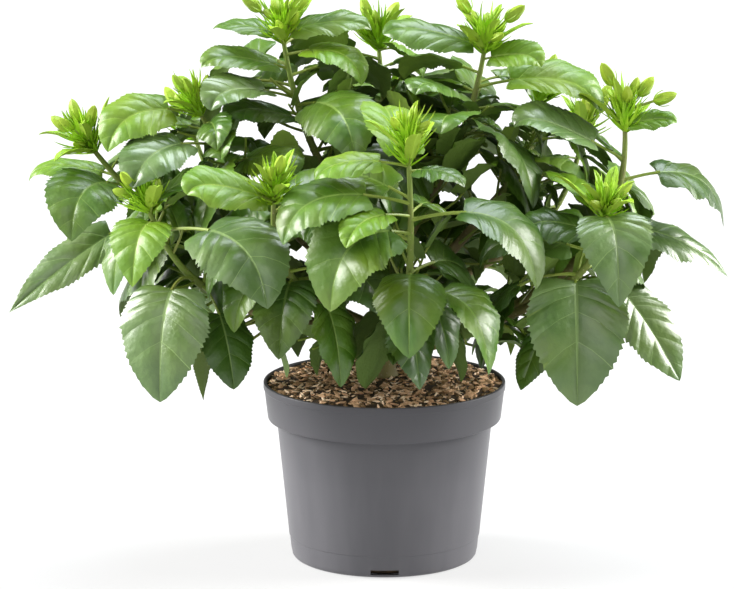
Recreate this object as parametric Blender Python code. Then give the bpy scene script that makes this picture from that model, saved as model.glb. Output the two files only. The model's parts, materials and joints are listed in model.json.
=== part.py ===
"""A hibiscus shrub in its nursery pot, as an assembly of separate solids.

Metres, +Z up, the plant's front along -Y, the origin at the centre of the pot's flat underside.
A pot holds its potting mix. A short trunk stands on the mix and forks into boughs. Each bough
ends where it enters a mass of foliage: one stem with side leaves, young tip leaves and flower
buds fused on. Masses never touch each other, the boughs or the pot.
"""

import math
import random

import bmesh
import bpy
from mathutils import Vector
from mathutils.bvhtree import BVHTree

MM = 0.001
UP = Vector((0, 0, 1))
SEAT_GAP = 0.3 * MM

# Pot: a 13 cm nursery pot with a stepped rim band and drain slots round its foot.
RIM_RADIUS = 65 * MM
POT_HEIGHT = 96.5 * MM
RIM_BAND = 20.5 * MM
BAND_FOOT_RADIUS = 62.6 * MM
NECK_RADIUS = 57.9 * MM
FOOT_RADIUS = 49.8 * MM
FOOT_ROUND = 3.5 * MM
WALL = 1.6 * MM
POT_SIDES = 40
SLOTS = 4
SLOT_WIDTH = 15 * MM
SLOT_LOW = 1.8 * MM
SLOT_HIGH = 4.6 * MM
SLOT_DEPTH = 3.4 * MM

# Potting mix, nearly level with the rim, flat round the trunk and uneven outside that.
MIX_LEVEL = 95.2 * MM
MIX_EDGE_DROP = 1.5 * MM
MIX_RELIEF = 1.6 * MM
MIX_FLAT_RADIUS = 14 * MM

# Wood.
TRUNK_COLLAR = (0, 0, 98.8)
TRUNK_TOP = (3, 2, 158)
TRUNK_PLACES = (0, 0.12, 0.35, 0.7, 1.0)
TRUNK_RADII = (8.5, 6.3, 5.6, 5.0, 4.2)
GOLDEN_TURN = math.radians(137.5)

# Leaf: a long-tipped oval, as (place along the blade, share of the half width).
LEAF_OUTLINE = ((0.0, 0.06), (0.1, 0.72), (0.38, 1.0), (0.74, 0.64))
YOUNG_OUTLINE = ((0.0, 0.2), (0.4, 1.0))
LEAF_THICKNESS = 1.2 * MM
LEAF_FOLD = 0.2
PETIOLE_RADIUS = 0.95 * MM
PETIOLE_LIFT = 0.35
BIG_LEAF = 62 * MM
LEAF_SLIMNESS = 0.72
LEAF_REACH = 1.18
LEAF_ARCH = 0.85
OUTWARD_LEAN = 0.5
OUTWARD_ROLL = math.radians(40)
CLEARANCE = 0.45 * MM
BARE_ROOT = 6 * MM
YOUNG_BARE_ROOT = 3 * MM
LOWEST_TIP = 84 * MM

# What a leaf tries in turn where it has no room: turned by, tilted by, share of its size.
LEAF_TRIES = [
    (math.radians(turned_by), math.radians(tilted_by), shrink)
    for shrink in (1.0, 0.84, 0.7, 0.58)
    for tilted_by in (0, 16, -16)
    for turned_by in (0, 28, -28, 56, -56)
]

# Dome that the crown's inner leaves stay in: centre and half sizes.
DOME_CENTRE = Vector((-8 * MM, 6 * MM, 152 * MM))
DOME_WIDE = 153 * MM
DOME_DEEP = 148 * MM
DOME_FRONT = 84 * MM
DOME_HIGH = 116 * MM
DOME_LOW = 56 * MM

# Gaps that the crown's inner leaves leave open to a viewer in front: x, z and radius in mm, on
# the plane through the pot's axis.
EYE = Vector((-9, -2152, 601)) * MM
SKY_GAPS = (
    (-40, 226, 4.5),
    (-71, 234, 3.5),
    (-63, 249, 3.5),
    (-37, 258, 3.5),
    (-72, 202, 5),
    (-36, 168, 3),
    (-15, 136, 4),
    (48, 215, 3.5),
    (68, 252, 5),
    (64, 238, 4),
    (96, 195, 5),
    (94, 223, 4),
    (114, 237, 4.5),
    (-116, 217, 6),
    (-103, 219, 5),
    (-145, 193, 7),
    (-44, 164, 3.5),
    (-43, 131, 5),
    (21, 126, 3),
    (57, 151, 5),
    (31, 195, 3),
    (55, 198, 4),
)

# Leaves that hang in over the mix from the foot of each low stem.
LOW_STEM = 180 * MM
LOW_LEAVES = 3
LOW_PLACE_STEP = 0.05
LOW_TURN_STEP = math.radians(34)
LOW_LEAF = 46 * MM
LOW_BLADE_SHARE = 0.62
LOW_TIP_SHARE = 0.6
LOW_TIP_HEIGHT = 103 * MM
LOW_TIP_RISE = 9 * MM
LOW_ARCH = 0.6

# Boughs: name, parent, place on the parent, tip in mm, sag, foot and tip radius in mm.
BOUGHS = (
    ("bough_west", "trunk", 0.3, (-110, 8, 172), 0.16, 3.6, 2.6),
    ("bough_east", "trunk", 0.21, (103, -20, 167), 0.17, 3.8, 2.8),
    ("bough_front", "trunk", 0.39, (10, -58, 150), 0.14, 3.2, 2.4),
    ("bough_back", "trunk", 0.47, (8, 80, 165), 0.14, 3.4, 2.5),
    ("bough_upper_west", "trunk", 0.64, (-62, 2, 192), 0.08, 3.2, 2.4),
    ("bough_upper_east", "trunk", 0.58, (62, 20, 194), 0.08, 3.2, 2.4),
    ("bough_top_west", "trunk", 0.8, (-34, 14, 212), 0.03, 3.0, 2.3),
    ("bough_top_east", "trunk", 1.0, (34, 6, 214), 0.03, 3.0, 2.3),
    ("bough_front_west", "bough_west", 0.34, (-92, -30, 152), 0.1, 2.7, 2.3),
    ("bough_front_east", "bough_east", 0.46, (98, -45, 161), 0.08, 2.7, 2.2),
    ("bough_mid_front", "bough_front", 0.4, (-42, -52, 158), 0.08, 2.5, 2.1),
    ("bough_back_west", "bough_back", 0.3, (-70, 74, 160), 0.12, 2.7, 2.2),
    ("bough_back_east", "bough_back", 0.42, (76, 70, 158), 0.12, 2.7, 2.2),
    ("bough_top_back", "bough_back", 0.6, (2, 54, 205), -0.06, 2.6, 2.1),
)

# Shoots, one to a mass: name, bough, tip in mm, turn of the first leaf in degrees, leaves, seed.
SHOOTS = (
    ("foliage_west", "bough_west", (-160, -2, 230), 20, 13, 11),
    ("foliage_east", "bough_east", (126, -8, 248), 200, 13, 12),
    ("foliage_front", "bough_front", (11, -76, 246), 60, 14, 13),
    ("foliage_back", "bough_back", (2, 138, 226), 80, 16, 14),
    ("foliage_upper_west", "bough_upper_west", (-102, -4, 250), 100, 14, 15),
    ("foliage_upper_east", "bough_upper_east", (84, 34, 250), 140, 15, 16),
    ("foliage_top_west", "bough_top_west", (-55, 12, 289), 40, 14, 17),
    ("foliage_top_east", "bough_top_east", (54, 4, 284), 10, 14, 18),
    ("foliage_front_west", "bough_front_west", (-126, -44, 206), 75, 12, 19),
    ("foliage_front_east", "bough_front_east", (114, -60, 204), 300, 13, 20),
    ("foliage_mid_front", "bough_mid_front", (-56, -78, 218), 150, 14, 21),
    ("foliage_back_west", "bough_back_west", (-108, 102, 222), 30, 16, 22),
    ("foliage_back_east", "bough_back_east", (112, 96, 224), 250, 16, 23),
    ("foliage_top_back", "bough_top_back", (-4, 66, 276), 190, 15, 24),
)

# The large leaves that set the crown's outline and its front: shoot, place on its stem,
# tip in mm, blade length in mm, slimness, arch, roll in degrees.
OUTLINE_LEAVES = (
    ("foliage_west", 0.66, (-190, 10, 203), 42, 0.5, 0.75, 20),
    ("foliage_west", 0.56, (-164, -38, 180), 50, 0.84, 1.0, 25),
    ("foliage_west", 0.3, (-200, -12, 136), 66, 0.41, 0.1, 40),
    ("foliage_front_west", 0.8, (-131, -64, 161), 40, 0.86, 0.8, 0),
    ("foliage_front_west", 0.2, (-117, -70, 101), 60, 0.84, 1.05, 0),
    ("foliage_front_west", 0.12, (-97, -8, 87), 42, 0.5, 0.7, 55),
    ("foliage_front_west", 0.1, (-79, -58, 105), 40, 0.8, 0.5, 0),
    ("foliage_front_west", 0.72, (-60, -104, 158), 60, 0.8, 0.8, -25),
    ("foliage_mid_front", 0.88, (-101, -88, 214), 44, 0.7, 0.8, 30),
    ("foliage_upper_west", 0.88, (-145, -30, 226), 46, 0.72, 0.8, 30),
    ("foliage_upper_west", 0.6, (-131, -52, 211), 44, 0.78, 0.7, 15),
    ("foliage_top_west", 0.7, (-97, 0, 266), 42, 0.6, 0.72, 28),
    ("foliage_top_west", 0.5, (-91, -24, 247), 42, 0.66, 0.9, 25),
    ("foliage_top_west", 0.34, (-84, -12, 240), 42, 0.6, 0.7, 15),
    ("foliage_top_west", 0.92, (-92, 24, 283), 34, 0.56, 0.5, 25),
    ("foliage_top_west", 0.93, (-7, 6, 285), 43, 0.56, 0.65, -18),
    ("foliage_top_east", 0.9, (-1, 0, 284), 48, 0.62, 0.55, 20),
    ("foliage_top_east", 0.5, (16, -28, 256), 40, 0.74, 0.9, 15),
    ("foliage_top_east", 0.34, (29, -44, 238), 44, 0.78, 0.9, 0),
    ("foliage_top_east", 0.82, (82, -12, 268), 30, 0.7, 0.8, -35),
    ("foliage_top_east", 0.62, (114, -4, 242), 56, 0.6, 0.76, -22),
    ("foliage_east", 0.72, (68, -24, 238), 44, 0.78, 0.8, 25),
    ("foliage_east", 0.6, (180, -6, 181), 54, 0.7, 0.85, -14),
    ("foliage_east", 0.3, (184, 4, 152), 60, 0.46, 0.3, -30),
    ("foliage_east", 0.9, (154, -14, 239), 28, 0.6, 0.5, -30),
    ("foliage_front_east", 0.88, (120, -86, 155), 52, 0.76, 0.9, 0),
    ("foliage_front_east", 0.7, (74, -60, 190), 42, 0.72, 0.8, 15),
    ("foliage_east", 0.06, (156, -34, 104), 54, 0.6, 0.16, -35),
    ("foliage_front_east", 0.05, (100, -70, 99), 66, 0.8, 0.45, 0),
    ("foliage_east", 0.1, (71, -60, 105), 34, 0.7, 0.2, 0),
    ("foliage_front", 0.62, (77, -94, 166), 60, 0.8, 0.9, -8),
    ("foliage_front", 0.84, (40, -98, 220), 28, 0.86, 0.6, -10),
    ("foliage_front", 0.3, (12, -112, 134), 50, 0.76, 0.9, 0),
    ("foliage_front", 0.14, (53, -94, 121), 54, 0.78, 0.9, 0),
    ("foliage_front", 0.1, (33, -80, 121), 40, 0.7, 0.8, 0),
    ("foliage_front", 0.05, (18, -72, 108), 40, 0.84, 0.3, 0),
    ("foliage_front", 0.55, (-28, -106, 157), 60, 0.8, 0.9, 32),
    ("foliage_front", 0.7, (-52, -98, 190), 54, 0.72, 0.85, 20),
    ("foliage_front", 0.86, (-36, -88, 222), 36, 0.74, 0.6, 20),
    ("foliage_front", 0.64, (-20, -116, 192), 34, 0.7, 0.7, 10),
    ("foliage_mid_front", 0.05, (-23, -70, 109), 44, 0.76, 0.8, 0),
    ("foliage_mid_front", 0.16, (-55, -80, 126), 42, 0.8, 0.5, 0),
    ("foliage_front", 0.07, (-10, -52, 104), 40, 0.8, 0.3, 0),
    ("foliage_front", 0.08, (40, -46, 106), 42, 0.8, 0.6, 0),
    ("foliage_front_west", 0.08, (-52, -36, 106), 46, 0.8, 0.6, 0),
)

# Flower buds that show on the outline: shoot, tip in mm.
BUDS = (
    ("foliage_west", (-177, 0, 240)),
    ("foliage_west", (-166, 4, 249)),
    ("foliage_west", (-153, -6, 247)),
    ("foliage_east", (114, -8, 270)),
    ("foliage_east", (142, -4, 262)),
    ("foliage_east", (154, -10, 254)),
    ("foliage_top_west", (-76, 10, 303)),
    ("foliage_top_west", (-40, 12, 306)),
    ("foliage_top_east", (38, 4, 306)),
    ("foliage_top_east", (74, 2, 299)),
    ("foliage_upper_west", (-112, -4, 263)),
    ("foliage_front_west", (-142, -46, 209)),
    ("foliage_front", (3, -86, 254)),
    ("foliage_front", (23, -80, 251)),
    ("foliage_upper_east", (92, 36, 268)),
    ("foliage_back", (-8, 150, 242)),
    ("foliage_back", (14, 146, 240)),
    ("foliage_back_west", (-122, 112, 238)),
    ("foliage_back_east", (126, 104, 241)),
    ("foliage_top_back", (-12, 74, 294)),
    ("foliage_top_back", (8, 66, 292)),
)
BUD_LENGTH = 14 * MM
BUD_RADIUS = 3.5 * MM

YOUNG_LEAVES = 7
STEM_TIP_RADIUS = 1.1 * MM

# Colours and finishes: linear red, green, blue, then roughness.
FINISHES = {
    "pot_plastic": ((0.16, 0.158, 0.17), 0.42),
    "potting_mix": ((0.09, 0.045, 0.022), 0.95),
    "bark": ((0.16, 0.11, 0.045), 0.8),
    "foliage": ((0.07, 0.17, 0.035), 0.42),
}


def in_metres(point_mm):
    return Vector(point_mm) * MM


class Arc:
    """A quadratic curve from a foot, towards a bend, to a tip."""

    def __init__(self, foot, bend, tip):
        self.foot, self.bend, self.tip = foot, bend, tip

    def point(self, t):
        return self.foot * (1 - t) ** 2 + self.bend * 2 * t * (1 - t) + self.tip * t * t

    def slope(self, t):
        return ((self.bend - self.foot) * (1 - t) + (self.tip - self.bend) * t).normalized()


class Limb(Arc):
    """A tapering round limb along an arc."""

    def __init__(self, foot, bend, tip, foot_radius, tip_radius):
        super().__init__(foot, bend, tip)
        self.foot_radius, self.tip_radius = foot_radius, tip_radius

    def radius(self, t):
        return self.foot_radius + (self.tip_radius - self.foot_radius) * t


def loft(rings, tip=None):
    """Points and faces of a closed skin through rings of equal count, flat-ended or drawn to a tip."""
    count = len(rings[0])
    points = [p for ring in rings for p in ring]
    faces = [tuple(reversed(range(count)))]
    for start in range(0, len(points) - count, count):
        for i in range(count):
            j = (i + 1) % count
            faces.append((start + i, start + j, start + count + j, start + count + i))
    last = len(points) - count
    if tip is None:
        faces.append(tuple(range(last, last + count)))
    else:
        points.append(tip)
        faces += [(last + i, last + (i + 1) % count, last + count) for i in range(count)]
    return points, faces


def round_rings(line, slopes, radii, sides):
    """Rings of the given radii at the points of a line, square to its slopes, with no twist."""
    side = UP.cross(slopes[-1])
    rings = []
    for centre, along, radius in zip(line, slopes, radii):
        side = (side - along * side.dot(along)).normalized()
        other = along.cross(side)
        angles = [2 * math.pi * i / sides for i in range(sides)]
        rings.append([centre + (side * math.cos(a) + other * math.sin(a)) * radius for a in angles])
    return rings


def limb_skin(limb, sides, spans, grown=0.0):
    """The limb's skin, or one that is larger all round by `grown`."""
    steps = [k / spans for k in range(spans + 1)]
    line, slopes = [limb.point(t) for t in steps], [limb.slope(t) for t in steps]
    return loft(round_rings(line, slopes, [limb.radius(t) + grown for t in steps], sides))


def leaf_arc(root, tip, arch):
    """A leaf's midline: it leaves its node outwards, then bends over towards its tip."""
    reach = (tip - root).xy.length
    corner = Vector((tip.x, tip.y, max(root.z, tip.z) + PETIOLE_LIFT * reach))
    middle = (root + tip) / 2
    return Arc(root, middle.lerp(corner, arch), tip)


def place_at_length(arc, length, samples=24):
    """The arc's parameter where that much of its length is left before the tip."""
    left, after = 0.0, arc.tip
    for k in range(samples - 1, -1, -1):
        before = arc.point(k / samples)
        left += (after - before).length
        if left >= length:
            return k / samples
        after = before
    return 0.0


def leaf_skin(leaf, grown=0.0, bare_root=0.0):
    """The leaf's petiole and blade as one skin of four-cornered rings.

    A test skin is larger by `grown` and starts `bare_root` along the petiole.
    """
    arc, blade, slimness, roll, young = leaf
    heading = Vector((arc.tip.x - arc.foot.x, arc.tip.y - arc.foot.y, 0))
    if heading.length < 1e-6:
        heading = Vector((0, -1, 0))
    level = heading.normalized().cross(UP)
    base = max(place_at_length(arc, blade), 0.06)
    half_width = blade * slimness / 2
    outline = YOUNG_OUTLINE if young else LEAF_OUTLINE
    start = min(bare_root / max((arc.tip - arc.foot).length, 1e-6), base * 0.8)
    stations = [(start, None)] + [(base + (1 - base) * u, w) for u, w in outline]
    rings = []
    for t, width in stations:
        centre, along = arc.point(t), arc.slope(t)
        over = level.cross(along).normalized()
        side = level * math.cos(roll) + over * math.sin(roll)
        over = side.cross(along).normalized()
        if width is None or width < 0.1:
            reach, rise, thick = PETIOLE_RADIUS + grown, 0.0, PETIOLE_RADIUS + grown
        else:
            reach = half_width * width + grown
            rise, thick = half_width * width * LEAF_FOLD, LEAF_THICKNESS / 2 + grown
        rings.append([
            centre + over * thick,
            centre + side * reach + over * rise,
            centre - over * thick,
            centre - side * reach + over * rise,
        ])
    return loft(rings, arc.tip + arc.slope(1.0) * grown)


def bud_skin(root, tip):
    """A flower bud on its stalk: a pointed spindle at the end of a thin rod."""
    along = tip - root
    rod = max(along.length - BUD_LENGTH, 0.3 * along.length) / along.length
    places = (0.0, rod, rod + (1 - rod) * 0.35, rod + (1 - rod) * 0.75)
    radii = (0.9 * MM, 1.1 * MM, BUD_RADIUS, BUD_RADIUS * 0.6)
    line = [root + along * t for t in places]
    return loft(round_rings(line, [along.normalized()] * len(line), radii, 4), tip)


class Crown:
    """Every solid placed so far, and whether a new one would keep clear of them."""

    def __init__(self):
        self.placed = []

    def add(self, name, skin):
        points, faces = skin
        tree = BVHTree.FromPolygons(points, faces)
        low = Vector(map(min, *points))
        high = Vector(map(max, *points))
        self.placed.append((name, low, high, tree))

    def blocks(self, skin, counts):
        """True if the skin crosses a placed solid whose name counts."""
        points, faces = skin
        low = Vector(map(min, *points))
        high = Vector(map(max, *points))
        tree = None
        for name, other_low, other_high, other in self.placed:
            if not counts(name):
                continue
            if any(low[i] > other_high[i] or high[i] < other_low[i] for i in range(3)):
                continue
            tree = tree or BVHTree.FromPolygons(points, faces)
            if tree.overlap(other):
                return True
        return False


def make_object(name, skin, finish):
    points, faces = skin
    mesh = bpy.data.meshes.new(name)
    mesh.from_pydata(points, [], faces)
    mesh.materials.append(finish)
    obj = bpy.data.objects.new(name, mesh)
    bpy.context.scene.collection.objects.link(obj)
    return obj


def apply_modifiers(obj):
    graph = bpy.context.evaluated_depsgraph_get()
    finished = bpy.data.meshes.new_from_object(obj.evaluated_get(graph))
    obj.modifiers.clear()
    obj.data = finished


def cut(obj, cutter):
    """Takes the cutter's shape out of the object, and removes the cutter."""
    difference = obj.modifiers.new("cut", "BOOLEAN")
    difference.operation = "DIFFERENCE"
    difference.solver = "EXACT"
    difference.object = cutter
    apply_modifiers(obj)
    bpy.data.objects.remove(cutter)


def join_all(obj, skins, finish):
    """Fuses the skins onto the object by one union on a collection, which is then removed."""
    loose = bpy.data.collections.new(obj.name + "_pieces")
    bpy.context.scene.collection.children.link(loose)
    for k, skin in enumerate(skins):
        piece = make_object(f"{obj.name}_piece_{k}", skin, finish)
        bpy.context.scene.collection.objects.unlink(piece)
        loose.objects.link(piece)
    union = obj.modifiers.new("join", "BOOLEAN")
    union.operation = "UNION"
    union.solver = "EXACT"
    union.operand_type = "COLLECTION"
    union.collection = loose
    apply_modifiers(obj)
    for piece in list(loose.objects):
        bpy.data.objects.remove(piece)
    bpy.data.collections.remove(loose)


def make_finish(name):
    colour, roughness = FINISHES[name]
    material = bpy.data.materials.new(name)
    material.use_nodes = True
    shader = material.node_tree.nodes["Principled BSDF"]
    shader.inputs["Base Color"].default_value = (*colour, 1)
    shader.inputs["Roughness"].default_value = roughness
    return material


def turned(name, profile, sides, finish):
    """A profile of (radius, height), whose ends lie on the axis, turned round Z."""
    mesh = bpy.data.meshes.new(name)
    shape = bmesh.new()
    points = [shape.verts.new((r, 0, z)) for r, z in profile]
    edges = [shape.edges.new(pair) for pair in zip(points, points[1:])]
    bmesh.ops.spin(shape, geom=points + edges, cent=(0, 0, 0), axis=(0, 0, 1),
                   angle=2 * math.pi, steps=sides, use_merge=True)
    bmesh.ops.remove_doubles(shape, verts=shape.verts, dist=1e-6)
    bmesh.ops.recalc_face_normals(shape, faces=shape.faces)
    shape.to_mesh(mesh)
    shape.free()
    mesh.materials.append(finish)
    mesh.shade_smooth()
    mesh.set_sharp_from_angle(angle=math.radians(35))
    obj = bpy.data.objects.new(name, mesh)
    bpy.context.scene.collection.objects.link(obj)
    return obj


def wall_radius(z):
    """Outer radius of the pot's wall between its foot and its rim band."""
    return FOOT_RADIUS + (NECK_RADIUS - FOOT_RADIUS) * z / (POT_HEIGHT - RIM_BAND)


def make_pot(finish):
    """A thin-walled pot: rounded foot, tapering wall, a step out to the rim band, drain slots."""
    band_foot = POT_HEIGHT - RIM_BAND
    corner = [
        (FOOT_RADIUS - FOOT_ROUND + FOOT_ROUND * math.sin(a), FOOT_ROUND - FOOT_ROUND * math.cos(a))
        for a in (0, math.radians(45), math.radians(90))
    ]
    profile = [(0, 0), *corner,
               (wall_radius(band_foot), band_foot),
               (BAND_FOOT_RADIUS, band_foot + 0.3 * MM),
               (RIM_RADIUS, POT_HEIGHT),
               (RIM_RADIUS - WALL, POT_HEIGHT),
               (BAND_FOOT_RADIUS - WALL, band_foot + WALL),
               (wall_radius(band_foot) - WALL, band_foot + WALL),
               (FOOT_RADIUS - WALL, FOOT_ROUND),
               (FOOT_RADIUS - FOOT_ROUND, WALL),
               (0, WALL)]
    pot = turned("pot", profile, POT_SIDES, finish)
    slots = bpy.data.meshes.new("slots")
    shape = bmesh.new()
    for k in range(SLOTS):
        angle = 2 * math.pi * k / SLOTS - math.pi / 2
        outward = Vector((math.cos(angle), math.sin(angle), 0))
        block = bmesh.ops.create_cube(shape, size=1)["verts"]
        for v in block:
            along, across, height = v.co
            v.co = outward * (FOOT_RADIUS + 1 * MM + (along - 0.5) * (SLOT_DEPTH + 1 * MM))
            v.co += UP.cross(outward) * across * SLOT_WIDTH
            v.co.z = SLOT_LOW + (height + 0.5) * (SLOT_HIGH - SLOT_LOW)
    shape.to_mesh(slots)
    shape.free()
    cutter = bpy.data.objects.new("slots", slots)
    bpy.context.scene.collection.objects.link(cutter)
    cut(pot, cutter)
    return pot


def mix_height(radius, angle, rng):
    """Level of the potting mix: flat by the trunk, uneven further out."""
    if radius < MIX_FLAT_RADIUS:
        return MIX_LEVEL
    return MIX_LEVEL + MIX_RELIEF * rng.uniform(-0.8, 0.8) + 0.6 * MM * math.sin(3 * angle)


def make_mix(finish):
    """The potting mix: it fills the pot, with a seat gap to the wall."""
    band_foot = POT_HEIGHT - RIM_BAND
    inset = WALL + SEAT_GAP
    top_edge = BAND_FOOT_RADIUS + (RIM_RADIUS - BAND_FOOT_RADIUS) * 0.75 - inset
    profile = [(0, inset), (FOOT_RADIUS - FOOT_ROUND, inset),
               (FOOT_RADIUS - inset, FOOT_ROUND + SEAT_GAP),
               (wall_radius(band_foot) - inset, band_foot + WALL + SEAT_GAP),
               (BAND_FOOT_RADIUS - inset, band_foot + WALL + SEAT_GAP),
               (top_edge, MIX_LEVEL - MIX_EDGE_DROP),
               (top_edge * 0.86, MIX_LEVEL), (top_edge * 0.62, MIX_LEVEL),
               (top_edge * 0.4, MIX_LEVEL), (MIX_FLAT_RADIUS * 0.9, MIX_LEVEL), (0, MIX_LEVEL)]
    mix = turned("potting_mix", profile, 24, finish)
    rng = random.Random(5)
    for v in mix.data.vertices:
        radius = v.co.xy.length
        if v.co.z > MIX_LEVEL - 0.1 * MM:
            v.co.z = mix_height(radius, math.atan2(v.co.y, v.co.x), rng)
    return mix


def make_trunk(crown, finish):
    """The trunk: a slight lean and taper to the fork, and a root flare from its collar to the mix."""
    foot, top = in_metres(TRUNK_COLLAR), in_metres(TRUNK_TOP)
    trunk = Limb(foot, (foot + top) / 2 + in_metres((-2, 1, 0)), top,
                 TRUNK_RADII[1] * MM, TRUNK_RADII[-1] * MM)
    line, slopes = [trunk.point(t) for t in TRUNK_PLACES], [trunk.slope(t) for t in TRUNK_PLACES]
    line[0], slopes[0] = Vector((0, 0, MIX_LEVEL + SEAT_GAP)), UP
    skin = loft(round_rings(line, slopes, [r * MM for r in TRUNK_RADII], 10))
    make_object("trunk", skin, finish)
    crown.add("trunk", skin)
    return trunk


def make_boughs(trunk, crown, finish):
    """Each bough springs from its parent's side, is cut to a seat there, and ends flat at its mass."""
    limbs = {"trunk": trunk}
    for name, parent_name, place, tip, sag, foot_radius, tip_radius in BOUGHS:
        parent = limbs[parent_name]
        foot, end = parent.point(place), in_metres(tip)
        bend = (foot + end) / 2 - UP * (end - foot).length * sag
        limb = Limb(foot, bend, end, foot_radius * MM, tip_radius * MM)
        limbs[name] = limb
        skin = limb_skin(limb, 6, 6)
        bough = make_object(name, skin, finish)
        sides = 10 if parent_name == "trunk" else 6
        grown = SEAT_GAP * 1.2
        cut(bough, make_object("seat", limb_skin(parent, sides, 6, grown), finish))
        crown.add(name, skin)
    return limbs


def make_stems(limbs, crown):
    """The stem of each mass: it carries on from its bough's tip, a seat gap away."""
    stems = {}
    for name, bough_name, tip, *_ in SHOOTS:
        bough, end = limbs[bough_name], in_metres(tip)
        along = bough.slope(1.0)
        foot = bough.tip + along * SEAT_GAP
        bend = foot + along * (end - foot).length * 0.45
        stem = Limb(foot, bend, end, bough.tip_radius * 0.95, STEM_TIP_RADIUS)
        stems[name] = stem
        crown.add(name + "_stem", limb_skin(stem, 5, 5))
    return stems


def leave_sky_gaps(crown):
    """Adds a slim tube along each line of sight that stays open from the crown's front to its back."""
    for x, z, radius in SKY_GAPS:
        middle = in_metres((x, 0, z))
        along = (middle - EYE).normalized()
        ends = [middle - along * DOME_DEEP, middle + along * DOME_DEEP]
        crown.add("sky_gap", loft(round_rings(ends, [along] * 2, [radius * MM] * 2, 6)))


def in_dome(point):
    """True inside the dome that the crown's inner leaves stay in."""
    off = point - DOME_CENTRE
    height = DOME_HIGH if off.z > 0 else DOME_LOW
    depth = DOME_DEEP if off.y > 0 else DOME_FRONT
    return (off.x / DOME_WIDE) ** 2 + (off.y / depth) ** 2 + (off.z / height) ** 2 < 1


def try_leaf(crown, name, skins, leaf):
    """Adds the leaf to its mass if it keeps clear of everything, and says whether it did.

    Near its root it may touch its own stem and the leaves beside it. A young leaf may also touch
    its stem further out.
    """
    young = leaf[-1]
    own = (name,) if young else (name, name + "_stem")
    bare = YOUNG_BARE_ROOT if young else BARE_ROOT
    if crown.blocks(leaf_skin(leaf, CLEARANCE), lambda n: n not in (name, name + "_stem")):
        return False
    if crown.blocks(leaf_skin(leaf, CLEARANCE, bare), lambda n: n in own):
        return False
    skin = leaf_skin(leaf)
    crown.add(name, skin)
    skins.append(skin)
    return True


def rule_leaf(stem, place, turn, tilt, size):
    """A leaf at a node of the stem: its heading turns round the stem and leans outwards."""
    node, along = stem.point(place), stem.slope(place)
    across = along.cross(Vector((0.3, 0.9, 0.2))).normalized()
    outward = across * math.cos(turn) + along.cross(across) * math.sin(turn)
    away = Vector((node.x - DOME_CENTRE.x, node.y - DOME_CENTRE.y, 0))
    away.normalize()
    heading = Vector((outward.x, outward.y, 0)) + away * OUTWARD_LEAN
    heading.normalize()
    blade = BIG_LEAF * size
    tip = node + (heading * math.cos(tilt) + UP * math.sin(tilt)) * blade * LEAF_REACH
    roll = -OUTWARD_ROLL * away.dot(heading.cross(UP))
    return (leaf_arc(node, tip, LEAF_ARCH), blade, LEAF_SLIMNESS, roll, False)


def grow_rule_leaves(stems, crown, skins):
    """Leaves up each stem, a golden turn apart, smaller and more upright towards the tip.

    Each tries a few turns and tilts, and is skipped if none keeps clear inside the dome.
    """
    draws = {name: random.Random(seed) for name, *_, seed in SHOOTS}
    most = max(leaves for *_, leaves, _ in SHOOTS)
    for rank in range(most):
        for name, _, _, first_turn, leaves, _ in SHOOTS:
            if rank >= leaves:
                continue
            rng, stem = draws[name], stems[name]
            place = 0.03 + 0.9 * rank / (leaves - 1)
            turn = math.radians(first_turn) + rank * GOLDEN_TURN + rng.uniform(-0.2, 0.2)
            size = 1.06 - 0.46 * place + rng.uniform(-0.06, 0.06)
            tilt = math.radians(-52 + 60 * place + rng.uniform(-8, 8))
            for turned_by, tilted_by, shrink in LEAF_TRIES:
                leaf = rule_leaf(stem, place, turn + turned_by, tilt + tilted_by, size * shrink)
                tip = leaf[0].tip
                if not in_dome(tip) or tip.z < LOWEST_TIP:
                    continue
                if try_leaf(crown, name, skins[name], leaf):
                    break


def low_leaf(stem, place, turned_by, height, shrink):
    """A leaf that hangs in over the mix from near the foot of a low stem."""
    node = stem.point(place)
    angle = math.atan2(node.y, node.x) + turned_by
    reach = node.xy.length * LOW_TIP_SHARE
    tip = Vector((math.cos(angle) * reach, math.sin(angle) * reach, height))
    blade = min(LOW_LEAF, (tip - node).length * LOW_BLADE_SHARE) * shrink
    return (leaf_arc(node, tip, LOW_ARCH), blade, LEAF_SLIMNESS, 0.0, False)


def grow_low_leaves(stems, crown, skins):
    """A few leaves over the mix from each low stem. Each tries other turns where it has no room."""
    low_stems = [(name, stem) for name, stem in stems.items() if stem.foot.z < LOW_STEM]
    for k in range(LOW_LEAVES):
        place, height = 0.02 + LOW_PLACE_STEP * k, LOW_TIP_HEIGHT + LOW_TIP_RISE * k
        for name, stem in low_stems:
            for turned_by, _, shrink in LEAF_TRIES:
                turn = LOW_TURN_STEP * (k - 1) + turned_by
                leaf = low_leaf(stem, place, turn, height, shrink)
                if try_leaf(crown, name, skins[name], leaf):
                    break


def grow_outline_leaves(stems, crown, skins):
    for name, place, tip, blade, slimness, arch, roll in OUTLINE_LEAVES:
        node = stems[name].point(place)
        arc = leaf_arc(node, in_metres(tip), arch)
        try_leaf(crown, name, skins[name], (arc, blade * MM, slimness, math.radians(roll), False))


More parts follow.
